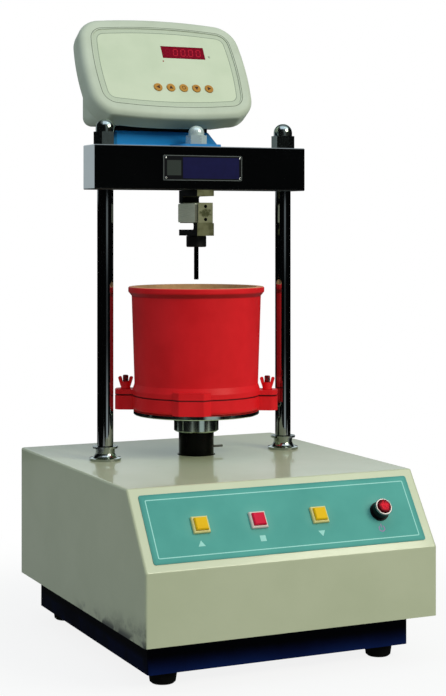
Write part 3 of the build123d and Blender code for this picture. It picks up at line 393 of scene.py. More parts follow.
def cell_nickel():
    """Nickel on the S-shaped cell: olive tone, painted shade on the left side, in the slot's end and in the
    holes, an oil stain in front.
    """
    f = Finish("cell_nickel")
    line = f.noise(1.0, rough=0.6, stretch=(300.0, 300.0, 40.0))
    cloud = f.noise(70.0)
    # Painted shade: the left side, the inside of the upper slot's closed end and the front holes' bores go
    # near black
    left = f.fall(f.x, cell_left + 0.00005, cell_left + 0.0003)
    hole_shade = 0.0
    for z in cell_hole_zs:
        hole_shade = f.most(hole_shade, f.fall(f.reach(f.x, f.z - z), 0.0025, 0.0031))
    hole_shade = hole_shade * f.step(f.y, cell_front + 0.0001, cell_front + 0.0006) * f.fall(f.y, 0.0500, 0.0510)
    slot = f.between(f.z, *cell_slot_zs, 0.0006) * f.between(f.y, *cell_slot_ys, 0.001)
    dark = f.most(f.most(left, slot), hole_shade)
    tone = f.mix(f.step(cloud, 0.35, 0.65), (0.18, 0.18, 0.095, 1.0), (0.09, 0.09, 0.042, 1.0))
    block = f.between(f.z, cell_block_zs[0] - 0.0003, cell_block_zs[1], 0.0003)
    tone = f.mix(block * 0.40, tone, (0.40, 0.40, 0.26, 1.0))
    stain_across, stain_up = f.x / 0.0085, (f.z - sum(cell_hole_zs) / 2) / 0.0052
    blot = f.noise(260.0, detail=4.0, rough=0.65, warp=0.8)
    blot = blot - 0.26 * (stain_across * stain_across + stain_up * stain_up)
    stain = f.step(blot, 0.12, 0.46) * f.fall(f.y, cell_front + 0.0006, cell_front + 0.0010)
    tone = f.mix(stain * 0.85, tone, (0.040, 0.045, 0.012, 1.0))
    return f.shade(
        Base_Color=f.mix(dark, tone, (0.004, 0.004, 0.004, 1.0)),
        Metallic=0.35 - 0.35 * dark,
        Roughness=0.40 + 0.10 * line + 0.15 * dark,
        Specular_IOR_Level=0.15,
        Normal=f.bump(line, depth=0.00001, strength=0.5),
    )


def foil_metal():
    """Pale aluminium foil or plate: fine level scratches, cloudy sheen, painted shade along the covers' front
    edge.
    """
    f = Finish("cover_foil")
    line = f.noise(1.0, rough=0.6, stretch=(40.0, 60.0, 1600.0))
    cloud = f.noise(50.0)
    # Painted shade in the gap along the covers' front edge
    edge = f.fall(f.y, cell_cover_front + 0.0001, cell_cover_front + 0.0005) * f.step(f.z, 0.50, 0.51)
    tone = f.mix(f.step(line, 0.3, 0.7), (0.74, 0.76, 0.58, 1.0), (0.60, 0.62, 0.46, 1.0))
    return f.shade(
        Base_Color=f.mix(edge * 0.9, tone, (0.06, 0.06, 0.04, 1.0)),
        Metallic=0.25,
        Roughness=0.45 + 0.12 * cloud,
        Normal=f.bump(line, depth=0.00002, strength=0.6),
    )


def bezel_plastic():
    """Button frames: pale plastic, tinted yellow round the two yellow buttons."""
    f = Finish("button_frame_pale")
    cloud = f.noise(60.0)
    tinted = 0.0
    for place in yellow_xs:
        tinted = f.most(tinted, f.fall(abs(f.x - place), 0.012, 0.016))
    pale_tone = f.mix(cloud, srgb(238, 222, 214), srgb(224, 208, 198))
    yellow_tone = f.mix(cloud, srgb(240, 228, 160), srgb(228, 214, 138))
    return f.shade(
        Base_Color=f.mix(tinted, pale_tone, yellow_tone),
        Roughness=0.42 + 0.10 * cloud,
        Specular_IOR_Level=0.2,
    )


def jewel_red():
    """Red lens of the power switch: bright in the middle, deep red towards its edge, faintly cut."""
    f = Finish("power_lens_red")
    away = f.reach(f.x - power_x, f.along(slope_middle, slope_up) - power_y)
    cut = f.noise(620.0, detail=2.0)
    deep = f.least(f.step(away, 0.0032, 0.0084) + 0.6 * f.step(cut, 0.42, 0.62), 1.0)
    return f.shade(
        Base_Color=f.mix(deep, srgb(246, 34, 56), srgb(100, 4, 18)),
        Roughness=0.35 + 0.15 * cut,
        Specular_IOR_Level=0.06,
        Normal=f.bump(cut, depth=0.0001, strength=0.5),
    )


def indicator_plastic():
    """Indicator housing: fine moulded grain, with painted shade on the bezel's bowed lower edge, which faces
    down.
    """
    f = Finish("indicator_grey")
    cloud = f.noise(21.0)
    leather = f.noise(900.0, rough=0.65)
    across = f.along(face_middle, right) / (face_half_wide - face_side_bulge)
    edge = face_half_tall - face_top_bulge * across * across
    # Painted shade on the bezel's lower rim, which faces down
    underside_shade = f.step(-f.along(face_middle, face_up) - edge, -0.0016, -0.0001)
    tone = f.mix(f.step(cloud, 0.3, 0.75), srgb(198, 206, 187), srgb(189, 197, 177))
    return f.shade(
        Base_Color=f.mix(underside_shade * 0.62, tone, srgb(78, 88, 58)),
        Roughness=0.48 + 0.10 * cloud - 0.06 * leather,
        Specular_IOR_Level=0.35,
        Normal=f.bump(leather, depth=0.00006, strength=0.5),
    )


def label_film():
    """Indicator overlay: satin film of a cloudy pale tone with a very fine matt grain."""
    f = Finish("indicator_label_film")
    cloud = f.noise(18.0)
    matt = f.noise(1500.0, detail=2.0)
    return f.shade(
        Base_Color=f.mix(f.step(cloud, 0.3, 0.75), srgb(206, 215, 188), srgb(197, 208, 180)),
        Roughness=0.50 + 0.08 * cloud,
        Normal=f.bump(matt, depth=0.00001, strength=0.4),
    )


def display_filter():
    """Dark red acrylic filter: smooth, faintly streaked by wiping."""
    f = Finish("display_dark_red")
    wipe = f.noise(1.0, detail=4.0, rough=0.6, stretch=(60.0, 400.0, 900.0))
    return f.shade(
        Base_Color=f.mix(wipe, srgb(134, 10, 36), srgb(112, 6, 28)),
        Roughness=0.20 + 0.10 * wipe,
        Specular_IOR_Level=0.03,
    )


def ink(name, colour):
    """Screen-printed ink: an almost even colour, a little thin in places."""
    f = Finish(name)
    thin = f.noise(900.0, detail=2.0)
    tone = f.mix(thin, colour, dimmed(colour, 0.75))
    return f.shade(Base_Color=tone, Roughness=0.5 + 0.1 * thin, Specular_IOR_Level=0.2)


def glow(name, colour, strength):
    """Lamp or display segment that shines with a given strength, slightly uneven."""
    f = Finish(name)
    uneven = f.noise(700.0, detail=2.0)
    tone = f.mix(uneven, colour, dimmed(colour, 0.8))
    return f.shade(
        Base_Color=tone,
        Roughness=0.35 + 0.1 * uneven,
        Specular_IOR_Level=0.03,
        Emission_Color=tone,
        Emission_Strength=strength,
    )


def rubber(name, colour):
    """Moulded rubber: matt, lightly bloomed, with a fine stipple."""
    f = Finish(name)
    bloom = f.noise(45.0, detail=4.0)
    stipple = f.noise(1300.0, detail=2.0)
    bloomed = tuple(c + 0.003 for c in colour[:3]) + (1.0,)
    return f.shade(
        Base_Color=f.mix(f.step(bloom, 0.4, 0.75), colour, bloomed),
        Roughness=0.62 + 0.18 * bloom,
        Specular_IOR_Level=0.12,
        Normal=f.bump(stipple, depth=0.00005, strength=0.6),
    )


def stud_paint():
    """Dark stud sprayed over with the mould's red: thin and patchy, almost black where the spray missed."""
    f = Finish("stud_red_black")
    patch = f.noise(420.0)
    return f.shade(
        Base_Color=f.mix(f.step(patch, 0.42, 0.60), srgb(150, 14, 22), srgb(34, 6, 8)),
        Roughness=0.46 + 0.14 * patch,
        Specular_IOR_Level=0.25,
    )


def turned(name, colour, rough, pitch=0.0006):
    """Turned or milled metal: fine tool lines across the height and a patchy oil film."""
    f = Finish(name)
    tool = f.math("SINE", f.z * (2 * math.pi / pitch))
    oil = f.noise(32.0, detail=4.0)
    return f.shade(
        Base_Color=f.mix(oil, colour, dimmed(colour, 0.7)),
        Metallic=1.0,
        Roughness=rough + 0.14 * oil + 0.03 * tool,
        Normal=f.bump(tool, depth=0.000006, strength=0.5),
    )


# Mesh makers


def add_piece(name, points, faces, body, material, smooth=True, slot=None):
    """Put an array of points and a list of face arrays into a mesh that rides on a body."""
    mesh = bpy.data.meshes.new(name)
    mesh.from_pydata(points.tolist(), [], sum((block.tolist() for block in faces), []))
    mesh.polygons.foreach_set("use_smooth", np.full(len(mesh.polygons), smooth))
    mesh.materials.append(material)
    mesh.update()
    piece = bpy.data.objects.new(name, mesh)
    bpy.context.scene.collection.objects.link(piece)
    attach(piece, body)
    return piece


def grid_faces(rows, columns):
    """Quads between neighbouring points of a grid whose columns close on themselves."""
    i, j = np.meshgrid(np.arange(rows - 1), np.arange(columns), indexing="ij")
    k = (j + 1) % columns
    corners = [i * columns + j, i * columns + k, (i + 1) * columns + k, (i + 1) * columns + j]
    return np.stack(corners, -1).reshape(-1, 4)


def capped(rows, columns):
    """Faces of a closed grid: its quads, and one many-sided face on its first and on its last row."""
    ring = np.arange(columns)
    return [grid_faces(rows, columns), ring[None, ::-1], ring[None] + (rows - 1) * columns]


def join(parts):
    """One array of points and one list of face arrays from several, with the point numbers moved along."""
    starts = np.cumsum([0] + [len(points) for points, faces in parts])
    faces = [block + start for (points, blocks), start in zip(parts, starts) for block in blocks]
    return np.concatenate([points for points, blocks in parts]), faces


def screw_head(centre, out, radius, height):
    """Cross-recessed pan head on a polar grid, closed by two caps.

    The height at radius share p is a quarter plus three quarters of (1 - p^4)^(1/2), less two crossed bars,
    and nought at the foot of its skirt.
    """
    rows, columns = 15, 48
    skirt, recess = 0.25, 0.55
    bar_half_wide, bar_half_long, side_slope, end_slope = 0.16, 0.62, 0.05, 0.08
    slanting = [0.31, 0.52, 0.80]
    out = np.array(out, float)
    side = np.cross(out, slanting)
    side /= np.linalg.norm(side)
    other = np.cross(out, side)
    p = np.concatenate([[1.0], np.linspace(1.0, 0.05, rows - 1)])
    turn = np.linspace(0, 2 * np.pi, columns, endpoint=False)
    pp, tt = np.meshgrid(p, turn, indexing="ij")
    u, v = pp * np.cos(tt), pp * np.sin(tt)
    rise = np.sqrt(np.clip(1 - pp**4, 0, 1)) * (1 - skirt) + skirt
    rise[0] = 0.0

    def bar(a, b):
        """1 on a bar along b and 0 off it, with sloping sides."""
        across = np.clip((bar_half_wide - np.abs(a)) / side_slope, 0, 1)
        return across * np.clip((bar_half_long - np.abs(b)) / end_slope, 0, 1)

    rise = rise - recess * np.maximum(bar(u, v), bar(v, u))
    spread = radius * (u[..., None] * side + v[..., None] * other)
    points = np.array(centre) + spread + (height * rise)[..., None] * out
    return points.reshape(-1, 3), capped(rows, columns)


def plate(outline, origin, across, up, out, low, high):
    """Flat prism: a convex or simple outline (u, v) in metres raised from low to high along out."""
    outline = np.array(outline, float)
    u, v = outline.T
    if np.sum(u * np.roll(v, -1) - v * np.roll(u, -1)) < 0:
        outline = outline[::-1]
    flat = origin + outline[:, :1] * across + outline[:, 1:] * up
    points = np.concatenate([flat + low * out, flat + high * out])
    return points, capped(2, len(outline))


def frame_strip(outer, inner, origin, across, up, out, low, high):
    """Closed flat ring between two outlines with the same number of points, from low to high."""
    loops = [(outer, low), (outer, high), (inner, high), (inner, low)]
    rows = [origin + np.array(o)[:, :1] * across + np.array(o)[:, 1:] * up + h * out for o, h in loops]
    return np.concatenate(rows), [grid_faces(5, len(outer)) % (4 * len(outer))]


def rounded_box(width, height, radius, per_corner=8):
    """Points round a rectangle whose corners are quarter circles."""
    turn = np.linspace(0, np.pi / 2, per_corner)
    points = []
    for k, (across, up) in enumerate(((1, 1), (-1, 1), (-1, -1), (1, -1))):
        a = turn + k * np.pi / 2
        centre = np.array([across * (width / 2 - radius), up * (height / 2 - radius)])
        points.append(centre + radius * np.stack([np.cos(a), np.sin(a)], -1))
    return np.concatenate(points)


def circle(centre, radius, count=40, start=0.0, end=2 * np.pi):
    """Points on a circle or an arc: the centre plus radius times (cos, sin) of evenly spaced turns."""
    turn = np.linspace(start, end, count, endpoint=abs(end - start) < 2 * np.pi - 1e-6)
    return np.array(centre) + radius * np.stack([np.cos(turn), np.sin(turn)], -1)


def arc_band(centre, inner, outer, start, end, count=36):
    """Outline of a curved band: the outer arc, then the inner arc backwards."""
    outer_arc, inner_arc = (circle(centre, radius, count, start, end) for radius in (outer, inner))
    return np.concatenate([outer_arc, inner_arc[::-1]])


# Finishes
upright_grain = (700.0, 700.0, 9.0)
level_grain = (9.0, 700.0, 700.0)
round_grain = (120.0, 120.0, 500.0)
cream = powder_coat(
    "cabinet_cream",
    srgb(206, 210, 178),
    srgb(200, 205, 172),
    0.26,
    coat=0.45,
    shine=0.45,
    coat_rough=0.06,
    darkening=cabinet_left_dark_patches,
)
# The plinth's paint carries painted shade under the cabinet's edge and on its left side
navy = powder_coat(
    "plinth_navy", srgb(16, 36, 92), srgb(12, 28, 80), 0.62, coat=0.0, shine=0.04, darkening=plinth_painted_shade
)
blue = powder_coat("bracket_blue", srgb(36, 140, 214), srgb(28, 128, 200), 0.34)
red_cast = casting_paint()
chrome_up = plated("column_chrome", (0.45, 0.47, 0.47, 1.0), 0.03, upright_grain, wear=0.5)
chrome_across = plated(
    "beam_chrome", (0.78, 0.80, 0.80, 1.0), 0.02, level_grain, wear=0.3, dull_below=beam_bottom + 0.0012
)
chrome_round = plated("fitting_chrome", (0.82, 0.83, 0.83, 1.0), 0.06, round_grain)
lift_chrome = plated("lift_satin_chrome", (0.66, 0.76, 0.66, 1.0), 0.08, round_grain, wear=0.3)
nut_chrome = plated("nut_chrome", (0.52, 0.60, 0.56, 1.0), 0.11, round_grain)
satin_nut = plated("nut_satin", (0.72, 0.84, 0.82, 1.0), 0.24, round_grain, metal=0.45)
collar_chrome = plated("collar_chrome", (0.48, 0.52, 0.49, 1.0), 0.10, round_grain)
ram_chrome = plated("ram_dark_chrome", (0.011, 0.011, 0.011, 1.0), 0.14, (500.0, 500.0, 12.0))
nickel = cell_nickel()
satin = foil_metal()
steel = turned("turned_steel", (0.50, 0.50, 0.49, 1.0), 0.24)
iron = turned("guide_iron", (0.20, 0.20, 0.20, 1.0), 0.50, pitch=0.0012)
bronze = turned("turned_bronze", (0.55, 0.36, 0.14, 1.0), 0.28)
blackened = powder_coat("chuck_black", srgb(14, 14, 15), srgb(9, 9, 10), 0.42, coat=0.0)
teal = panel_film()
yellow = moulded("button_yellow", srgb(246, 202, 22), srgb(240, 186, 18), 0.50, grain=700.0, shine=0.12)
red_cap = moulded("button_red", srgb(230, 32, 70), srgb(216, 22, 58), 0.50, grain=700.0, shine=0.12)
power_red = jewel_red()
pale = bezel_plastic()
ring_metal = plated("power_ring_satin", (0.38, 0.345, 0.345, 1.0), 0.36, (400.0, 400.0, 400.0))
black = moulded("moulded_black", srgb(15, 15, 16), srgb(10, 10, 11), 0.44, shine=0.16)
grey = indicator_plastic()
film = label_film()
filter_red = display_filter()
orange = moulded("key_orange", srgb(190, 135, 43), srgb(176, 119, 31), 0.46, grain=800.0)
board = moulded("board_green", srgb(34, 110, 62), srgb(26, 92, 50), 0.40)
black_rubber = rubber("black_rubber", srgb(7, 7, 7))
plate_metal = nameplate_metal()

dressing = {
    cream: ["cabinet_cover", "back_panel"],
    navy: ["base_pan"],
    blue: ["indicator_bracket"],
    red_cast: ["mould_cup", "mould_base", "wing_nut_left", "wing_nut_right"],
    chrome_up: ["left_column", "right_column"],
    chrome_across: ["crosshead"],
    lift_chrome: ["platen", "ram_collar"],
    nut_chrome: ["column_dome_nuts"],
    satin_nut: ["centre_dome_nut"],
    collar_chrome: ["column_collars"],
    ram_chrome: ["ram", "needle"],
    nickel: ["load_cell"],
    satin: ["cell_covers", "gearmotor"],
    steel: [
        "base_plate",
        "column_foot_nuts",
        "hanger_stud",
        "mould_studs",
        "lead_screw",
        "thrust_bearing",
        "driven_pulley",
        "motor_pulley",
        "button_lock_nuts",
    ],
    iron: ["guide_housing", "ram_pin"],
    bronze: ["ram_nut", "guide_bush"],
    blackened: ["needle_chuck"],
    teal: ["control_panel"],
    yellow: ["up_button", "down_button"],
    red_cap: ["stop_button"],
    power_red: ["power_button"],
    ring_metal: ["power_ring"],
    pale: ["button_bezels"],
    black: ["power_housing", "power_inlet", "control_box"],
    grey: ["indicator_bezel", "indicator_rear_shell"],
    film: ["indicator_label"],
    filter_red: ["display_window"],
    orange: ["key_1", "key_2", "key_3", "key_4", "key_5"],
    board: ["display_board"],
    black_rubber: ["rubber_feet", "indicator_feet", "drive_belt"],
    plate_metal: ["nameplate"],
}
for material, names in dressing.items():
    for name in names:
        mesh = nodes[name].data
        mesh.materials.clear()
        mesh.materials.append(material)

# Printed signs on the sloping panel; a print starts a little below its film and ends a little above it
pale_ink = ink("pale_ink", srgb(172, 236, 226))
violet_ink = ink("violet_ink", srgb(190, 120, 196))
dark_ink = ink("dark_ink", srgb(74, 44, 24))
grey_ink = ink("grey_ink", srgb(140, 152, 132))
print_below, print_above = 0.00002, 0.00005
panel_top = 0.0008
panel_print = (panel_top - print_below, panel_top + print_above)


def on_slope(outline):
    """Prism of print a few hundredths of a millimetre thick on the panel film."""
    return plate(outline, *slope_plane, *panel_print)


up_sign_x, stop_sign_x, down_sign_x, sign_y = -0.1145, -0.0360, 0.0420, -0.0225
up_arrow = np.array([(-0.0045, -0.0032), (0.0045, -0.0032), (0.0, 0.0042)])
square_side = 0.0074
border_wide, border_tall, border_thick = 0.3430, 0.0735, 0.0013
border_loops = (
    rounded_box(border_wide, border_tall, 0.002),
    rounded_box(border_wide - 2 * border_thick, border_tall - 2 * border_thick, 0.001),
)
marks = [
    frame_strip(*border_loops, *slope_plane, *panel_print),
    on_slope(up_arrow + (up_sign_x, sign_y)),
    on_slope(rounded_box(square_side, square_side, 0.0006) + (stop_sign_x, sign_y)),
    on_slope(up_arrow * (1, -1) + (down_sign_x, sign_y)),
]
add_piece("panel_signs", *join(marks), "base", pale_ink, smooth=False)
power_centre = (power_x - 0.0030, sign_y - 0.0010)
power_sign = [
    on_slope(arc_band(power_centre, 0.0033, 0.0042, math.radians(125), math.radians(415))),
    on_slope(rounded_box(0.0009, 0.0048, 0.0003) + (power_centre[0], sign_y + 0.0026)),
]
add_piece("power_sign", *join(power_sign), "base", violet_ink, smooth=False)


# Indicator face: digits, printed rings, a ring of painted shade at the label's recess edge, the unit's
# letter, a lamp and key marks
def on_face(outline, low, high):
    """Prism on the leaning face between two heights above its front rim."""
    return plate(outline, *face_plane, low, high)


label_top, digit_above = -0.0012, 0.00006
digit_print = (label_top - print_below, label_top + digit_above)
window_middle = np.array([0.0285, 0.0255])
digit_wide, digit_high, bar_wide = 0.0058, 0.0053, 0.00062
digit_pitch, digit_slant, bar_gap = 0.0112, 0.12, 0.0003
segments = {
    "a": (0.0, 1.0, True),
    "b": (0.5, 0.5, False),
    "c": (0.5, -0.5, False),
    "d": (0.0, -1.0, True),
    "e": (-0.5, -0.5, False),
    "f": (-0.5, 0.5, False),
    "g": (0.0, 0.0, True),
}
shapes = {"0": "abcdef", " ": ""}


def segment(centre, level):
    """Six-sided bar of a seven-segment digit, lying or standing: a strip with pointed ends."""
    h = (digit_wide if level else digit_high) / 2 - bar_gap
    s, w = h - bar_wide, bar_wide
    bar = np.array([(-h, 0), (-s, w), (s, w), (h, 0), (s, -w), (-s, -w)])
    if not level:
        bar = bar[:, ::-1]
    return bar + centre


unlit_parts, lit_parts = [], []
for place, digit in enumerate(" 0000"):
    for name, (u, v, level) in segments.items():
        bar = segment((u * digit_wide, v * digit_high), level)
        bar[:, 0] += digit_slant * bar[:, 1] + (place - 2) * digit_pitch
        prism = on_face(bar + window_middle, *digit_print)
        (lit_parts if name in shapes[digit] else unlit_parts).append(prism)
dot_place, dot_radius = (0.5 * digit_pitch - 0.0007, -digit_high - 0.0001), 0.0008
lit_parts.append(on_face(circle(dot_place, dot_radius, count=14) + window_middle, *digit_print))
lit = glow("digit_lit", srgb(192, 34, 54), 0.08)
unlit = glow("digit_unlit", srgb(144, 14, 42), 0.0)
add_piece("display_digits", *join(lit_parts), "base", lit, smooth=False)
add_piece("display_segments", *join(unlit_parts), "base", unlit, smooth=False)


def face_outline(inset, count=48):
    """Outline of the indicator's face drawn in by an inset, in metres.

    For each outward normal the point is taken on the wide side disc, at the corner where the side and top
    discs meet, or on the wide top disc, each shrunk by the corner radius, then moved out along the normal.
    """
    half_wide, half_tall, corner = face_half_wide, face_half_tall, face_corner
    side_bulge, top_bulge = face_side_bulge, face_top_bulge
    top_disc = ((half_wide - side_bulge) ** 2 + top_bulge**2) / (2 * top_bulge)
    side_disc = ((half_tall - top_bulge) ** 2 + side_bulge**2) / (2 * side_bulge)
    a, b = side_disc - corner, top_disc - corner
    side_middle = np.array([half_wide - side_disc, 0.0])
    top_middle = np.array([0.0, half_tall - top_disc])
    apart = np.linalg.norm(top_middle - side_middle)
    line = (top_middle - side_middle) / apart
    foot = (a * a - b * b + apart * apart) / (2 * apart)
    meet = side_middle + foot * line + math.sqrt(a * a - foot * foot) * np.array([-line[1], line[0]])
    turn = np.linspace(0, np.pi / 2, count)
    normal = np.stack([np.cos(turn), np.sin(turn)], -1)
    first = math.atan2(meet[1], meet[0] - side_middle[0])
    last = math.atan2(meet[1] - top_middle[1], meet[0])
    core = np.where((turn < first)[:, None], side_middle + a * normal, meet)
    core = np.where((turn > last)[:, None], top_middle + b * normal, core)
    quarter = core + (corner - inset) * normal
    back = quarter[::-1]
    return np.concatenate([quarter, back[1:] * (-1, 1), quarter[1:] * (-1, -1), back[1:-1] * (1, -1)])


def on_label(outline):
    """Print on the label film."""
    return on_face(np.array(outline), label_top - print_below, label_top + print_above)


def face_ring(outer, inner, height):
    """Thin ring on the face between two insets, at a height above its front rim; used both for print and for
    painted shade.
    """
    loops = (face_outline(outer), face_outline(inner))
    return frame_strip(*loops, *face_plane, height - print_below, height + print_above)


# Insets of the rings from the face's edge
groove_from, groove_to = 0.0155, 0.0164
band_from, band_to, border_to = 0.0181, 0.0240, 0.0248
# The groove ring is painted shade at the edge of the label's recess
recess_shade_ink = ink("groove_shade", srgb(118, 128, 108))
# The band ring is a faint painted shade of the recess wall, close to the label's tone
band_shade_ink = ink("band_shade_ink", srgb(202, 212, 189))
groove = face_ring(groove_from, groove_to, 0.0)
band = face_ring(band_from, band_to, label_top)
label_border = face_ring(band_to, border_to, label_top)
add_piece("label_groove", *groove, "base", recess_shade_ink, smooth=False)
add_piece("label_band", *band, "base", band_shade_ink, smooth=False)
letter_place, letter_size, stem = (0.0645, 0.0185), (0.0026, 0.0034), 0.26
half_letter = [(0, 0), (0, 1), (stem, 1), (1 - stem, 0.36), (1 - stem, 1)]
letter = np.array(half_letter + [(1 - u, 1 - v) for u, v in half_letter])
prints = [label_border, on_label(letter * letter_size + letter_place)]
add_piece("label_prints", *join(prints), "base", grey_ink, smooth=False)
lamp_place, lamp_radius = (-0.0035, 0.0105), 0.0011
lamp = on_label(circle(lamp_place, lamp_radius, count=20))
add_piece("status_lamp", *lamp, "base", glow("lamp_red", srgb(150, 20, 30), 0.05), smooth=False)

first_key_x, key_pitch, key_y = -0.020, 0.0185, -0.0325
key_xs = first_key_x + key_pitch * np.arange(5)
key_print = (-print_below, print_above)
left_arrow = np.array([(0.0022, 0.0028), (0.0022, -0.0028), (-0.0030, 0.0)])
down_arrow = left_arrow[:, ::-1]
key_ring = [circle((key_xs[2], key_y), radius) for radius in (0.0028, 0.0020)]
key_marks = [
    on_face(left_arrow + (key_xs[0], key_y), *key_print),
    on_face(down_arrow * (1, -1) + (key_xs[1], key_y), *key_print),
    frame_strip(*key_ring, *face_plane, *key_print),
    on_face(down_arrow + (key_xs[3], key_y), *key_print),
    on_face(left_arrow * (-1, 1) + (key_xs[4], key_y), *key_print),
]
for number, mark in enumerate(key_marks, start=1):
    add_piece(f"key_mark_{number}", *mark, f"key_{number}", dark_ink, smooth=False)


# Screws
def add_screws(name, places, out, radius, height, material, slot):
    """One piece of equal screw heads at several places."""
    heads = [screw_head(place, out, radius, height) for place in places]
    add_piece(name, *join(heads), "base", material, slot=slot)


forward, backward, down = (0, -1, 0), (0, 1, 0), (0, 0, -1)
four_corners = [(side, end) for side in both_sides for end in both_sides]
plate_x, plate_up = 0.0530, 0.0130
plate_places = [(side * plate_x, nameplate_front, nameplate_z + end * plate_up) for side, end in four_corners]
add_screws("nameplate_screws", plate_places, forward, 0.0014, 0.0009, chrome_round, "chrome_plate")
back_x, back_low, back_high = 0.1835, 0.0745, 0.2195
back_zs = (back_low, (back_low + back_high) / 2, back_high)
back_places = [(side * back_x, cabinet_back, z) for side in both_sides for z in back_zs]
back_places += [(0.0, cabinet_back, z) for z in (back_low, back_high)]
add_screws("back_screws", back_places, backward, 0.0034, 0.0018, chrome_round, "chrome_plate")
inlet_middle, inlet_reach = node_middle("power_inlet"), 0.0205
inlet_places = [(inlet_middle.x + side * inlet_reach, cabinet_back, inlet_middle.z) for side in both_sides]
add_screws("inlet_screws", inlet_places, backward, 0.0022, 0.0012, steel, "plain_steel")
feet_y, foot_x, foot_reach, foot_seat = node_middle("rubber_feet").y, 0.144, 0.1685, 0.006
foot_places = [(side * foot_x, feet_y + end * foot_reach, foot_seat) for side, end in four_corners]
add_screws("foot_screws", foot_places, down, 0.0046, 0.0026, steel, "plain_steel")
shell_back, shell_reach, shell_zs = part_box("indicator_rear_shell")[1].y, 0.080, (0.684, 0.768)
shell_places = [(face_middle[0] + side * shell_reach, shell_back, z) for side in both_sides for z in shell_zs]
add_screws("shell_screws", shell_places, backward, 0.0030, 0.0015, steel, "plain_steel")


# Threaded studs of the mould
def stud_thread(x, y, low, high, radius, depth, pitch):
    """Screw thread: r = R - d * |2 frac(z / p - turn / 2 pi) - 1|, drawn in at the top, with end caps."""
    rows_a_turn, columns, tip = 10, 24, 0.82
    rows = int((high - low) / pitch * rows_a_turn)
    z = np.linspace(low, high, rows)
    turn = np.linspace(0, 2 * np.pi, columns, endpoint=False)
    zz, tt = np.meshgrid(z, turn, indexing="ij")
    wave = np.abs(2 * np.mod(zz / pitch - tt / (2 * np.pi), 1.0) - 1)
    end = np.clip((high - zz) / (2 * depth), 0, 1)
    rr = (radius - depth * wave) * (tip + (1 - tip) * end)
    points = np.stack([x + rr * np.cos(tt), y + rr * np.sin(tt), zz], -1).reshape(-1, 3)
    return points, capped(rows, columns)


stud_low, stud_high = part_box("mould_studs")
stud_circle, stud_radius, thread_depth, thread_pitch = 0.094, 0.004, 0.0006, 0.00125
studs = [
    stud_thread(
        side * stud_circle * math.cos(mould_turn),
        column_y + side * stud_circle * math.sin(mould_turn),
        stud_low[2],
        stud_high[2],
        stud_radius,
        thread_depth,
        thread_pitch,
    )
    for side in both_sides
]
thread = add_piece("mould_stud_threads", *join(studs), "lift", stud_paint(), slot="plain_steel")
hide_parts("mould_studs")

# Floor: seen white by the camera with the shadow kept, dim in metal and glass, dark to bounced light
floor_in_metal = 0.12
floor_paint = Finish("studio_floor")
floor_cloud = floor_paint.noise(3.0, detail=2.0)
floor_tone = floor_paint.mix(floor_cloud, (0.88, 0.88, 0.88, 1.0), (0.84, 0.84, 0.84, 1.0))
floor_paint.shade(Base_Color=floor_tone, Roughness=0.9)
lit_floor = Value(floor_paint, floor_paint.shader.outputs[0])
white = floor_paint.node("ShaderNodeEmission", inputs={"Strength": 1.0})
dark = floor_paint.node("ShaderNodeBsdfDiffuse", inputs={"Color": (0.20, 0.21, 0.21, 1.0)})
fade = 0.86 + 0.14 * floor_paint.step(floor_paint.reach(floor_paint.x, floor_paint.y), 0.32, 0.75)
seen_floor = floor_paint.node("ShaderNodeMixShader", inputs={0: fade, 1: lit_floor, 2: white})
camera_ray, glossy_ray = floor_paint.rays()
pale_share = floor_paint.most(camera_ray, floor_in_metal * glossy_ray)
whole_floor = floor_paint.node("ShaderNodeMixShader", inputs={0: pale_share, 1: dark, 2: seen_floor})
floor_output = floor_paint.tree.nodes["Material Output"]
floor_paint.tree.links.new(whole_floor.socket, floor_output.inputs["Surface"])
floor_half, lines = 1.6, 9
span = np.linspace(-floor_half, floor_half, lines)
floor_x, floor_y = np.meshgrid(span, span, indexing="ij")
floor_points = np.stack([floor_x, floor_y, np.zeros_like(floor_x)], -1).reshape(-1, 3)
first = np.arange(lines * lines).reshape(lines, lines)[:-1, :-1]
cells = np.stack([first, first + lines, first + lines + 1, first + 1], -1).reshape(-1, 4)
floor_mesh = bpy.data.meshes.new("studio_floor")
floor_mesh.from_pydata(floor_points.tolist(), [], cells.tolist())
floor_mesh.materials.append(floor_paint.material)
floor = bpy.data.objects.new("studio_floor", floor_mesh)
bpy.context.scene.collection.objects.link(floor)

# Studio: white to the camera, even soft light on the object, and cards that only metal and glass show
world = bpy.data.worlds.new("studio")
bpy.context.scene.world = world
world.use_nodes = True
studio = Graph(world.node_tree)
toward = studio.node("ShaderNodeTexCoord", out="Generated")
sx, sy, sz = (studio.node("ShaderNodeSeparateXYZ", inputs={0: toward}, out=i) for i in range(3))


def card(direction, near, far):
    """Soft-edged light card: a smooth step of the dot product with the card's direction."""
    d = Vector(direction).normalized()
    return studio.step(sx * d.x + sy * d.y + sz * d.z, far, near)


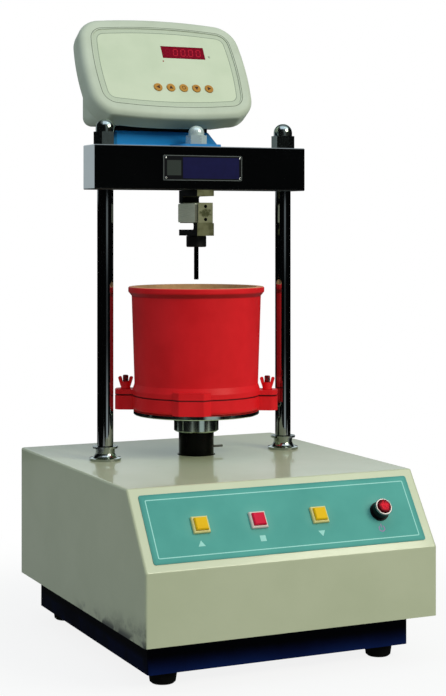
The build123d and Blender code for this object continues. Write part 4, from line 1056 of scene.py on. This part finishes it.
# White backdrop behind the machine, pale card left of it, soft box overhead, card high on the right in
# front, and two dim upright strips in front, one above the horizon and one below it
backdrop = studio.step(sx * 0.42 + sy * 0.9075, 0.80, 0.92) * studio.step(sz, 0.118, 0.158) * 0.9
left_card = card((-0.342, 0.94, 0.03), 0.990, 0.965) * studio.step(sz, 0.008, 0.018) * 0.43
overhead = card((0.1, -0.1, 1.0), 0.92, 0.60) * 0.3
high_card = card((0.42, -0.454, 0.80), 0.975, 0.90) * 1.3
strip = studio.fall(abs(sx * 0.9976 - sy * 0.07), 0.10, 0.34) * studio.step(-sy, 0.5, 0.6) * 0.13
strip = strip * studio.step(sz, 0.03, 0.05)
low_strip = studio.fall(abs(sx * 0.9962 + sy * 0.0872), 0.12, 0.30) * studio.step(-sy, 0.4, 0.5)
low_level = 0.035 + 0.16 * studio.step(sz, -0.040, -0.004) + 0.44 * studio.fall(sz, -0.135, -0.070)
low_strip = low_strip * low_level * studio.fall(sz, 0.0120, 0.0160)
reflected = backdrop
for light_card in (left_card, overhead, high_card, strip, low_strip):
    reflected = studio.most(reflected, light_card)
soft_light, dark_studio = 0.50, 0.002
camera_ray, glossy_ray = studio.rays()
level = (1.0 - glossy_ray) * soft_light + glossy_ray * (reflected + dark_studio)
level = level * (1.0 - camera_ray) + camera_ray
tint = studio.mix(camera_ray, (0.88, 1.0, 1.05, 1.0), (1.0, 1.0, 1.0, 1.0))
sky = world.node_tree.nodes["Background"]
world.node_tree.links.new(tint.socket, sky.inputs["Color"])
world.node_tree.links.new(level.socket, sky.inputs["Strength"])


def soft_box(name, place, target, size, power, colour):
    """Rectangular lamp that looks at a point."""
    lamp = bpy.data.lights.new(name, "AREA")
    lamp.shape = "RECTANGLE"
    lamp.size, lamp.size_y = size
    lamp.energy = power
    lamp.color = colour
    holder = bpy.data.objects.new(name, lamp)
    holder.location = place
    holder.rotation_euler = (Vector(target) - Vector(place)).to_track_quat("-Z", "Y").to_euler()
    bpy.context.scene.collection.objects.link(holder)


soft_box(
    "key_softbox",
    place=(1.7, -2.9, 2.55),
    target=(0.0, 0.0, 0.35),
    size=(1.8, 1.8),
    power=76.0,
    colour=(1.0, 0.98, 0.80),
)
soft_box(
    "top_softbox",
    place=(-0.3, -0.5, 2.5),
    target=(0.0, 0.0, 0.3),
    size=(1.6, 1.6),
    power=5.5,
    colour=(0.90, 1.0, 1.25),
)

# Camera level with the load cell, at the photograph's viewing angle
camera_data = bpy.data.cameras.new("photo_camera")
camera_data.sensor_width = 36.0
camera_data.lens = 85.05
camera_data.shift_y = -0.18095
camera_data.clip_end = 50.0
camera = bpy.data.objects.new("photo_camera", camera_data)
camera.location = (-0.8825, -1.9256, 0.5340)
camera.rotation_euler = (math.radians(90), 0.0, math.radians(-24.84))
bpy.context.scene.collection.objects.link(camera)
bpy.context.scene.camera = camera
bpy.context.scene.view_settings.view_transform = "Standard"
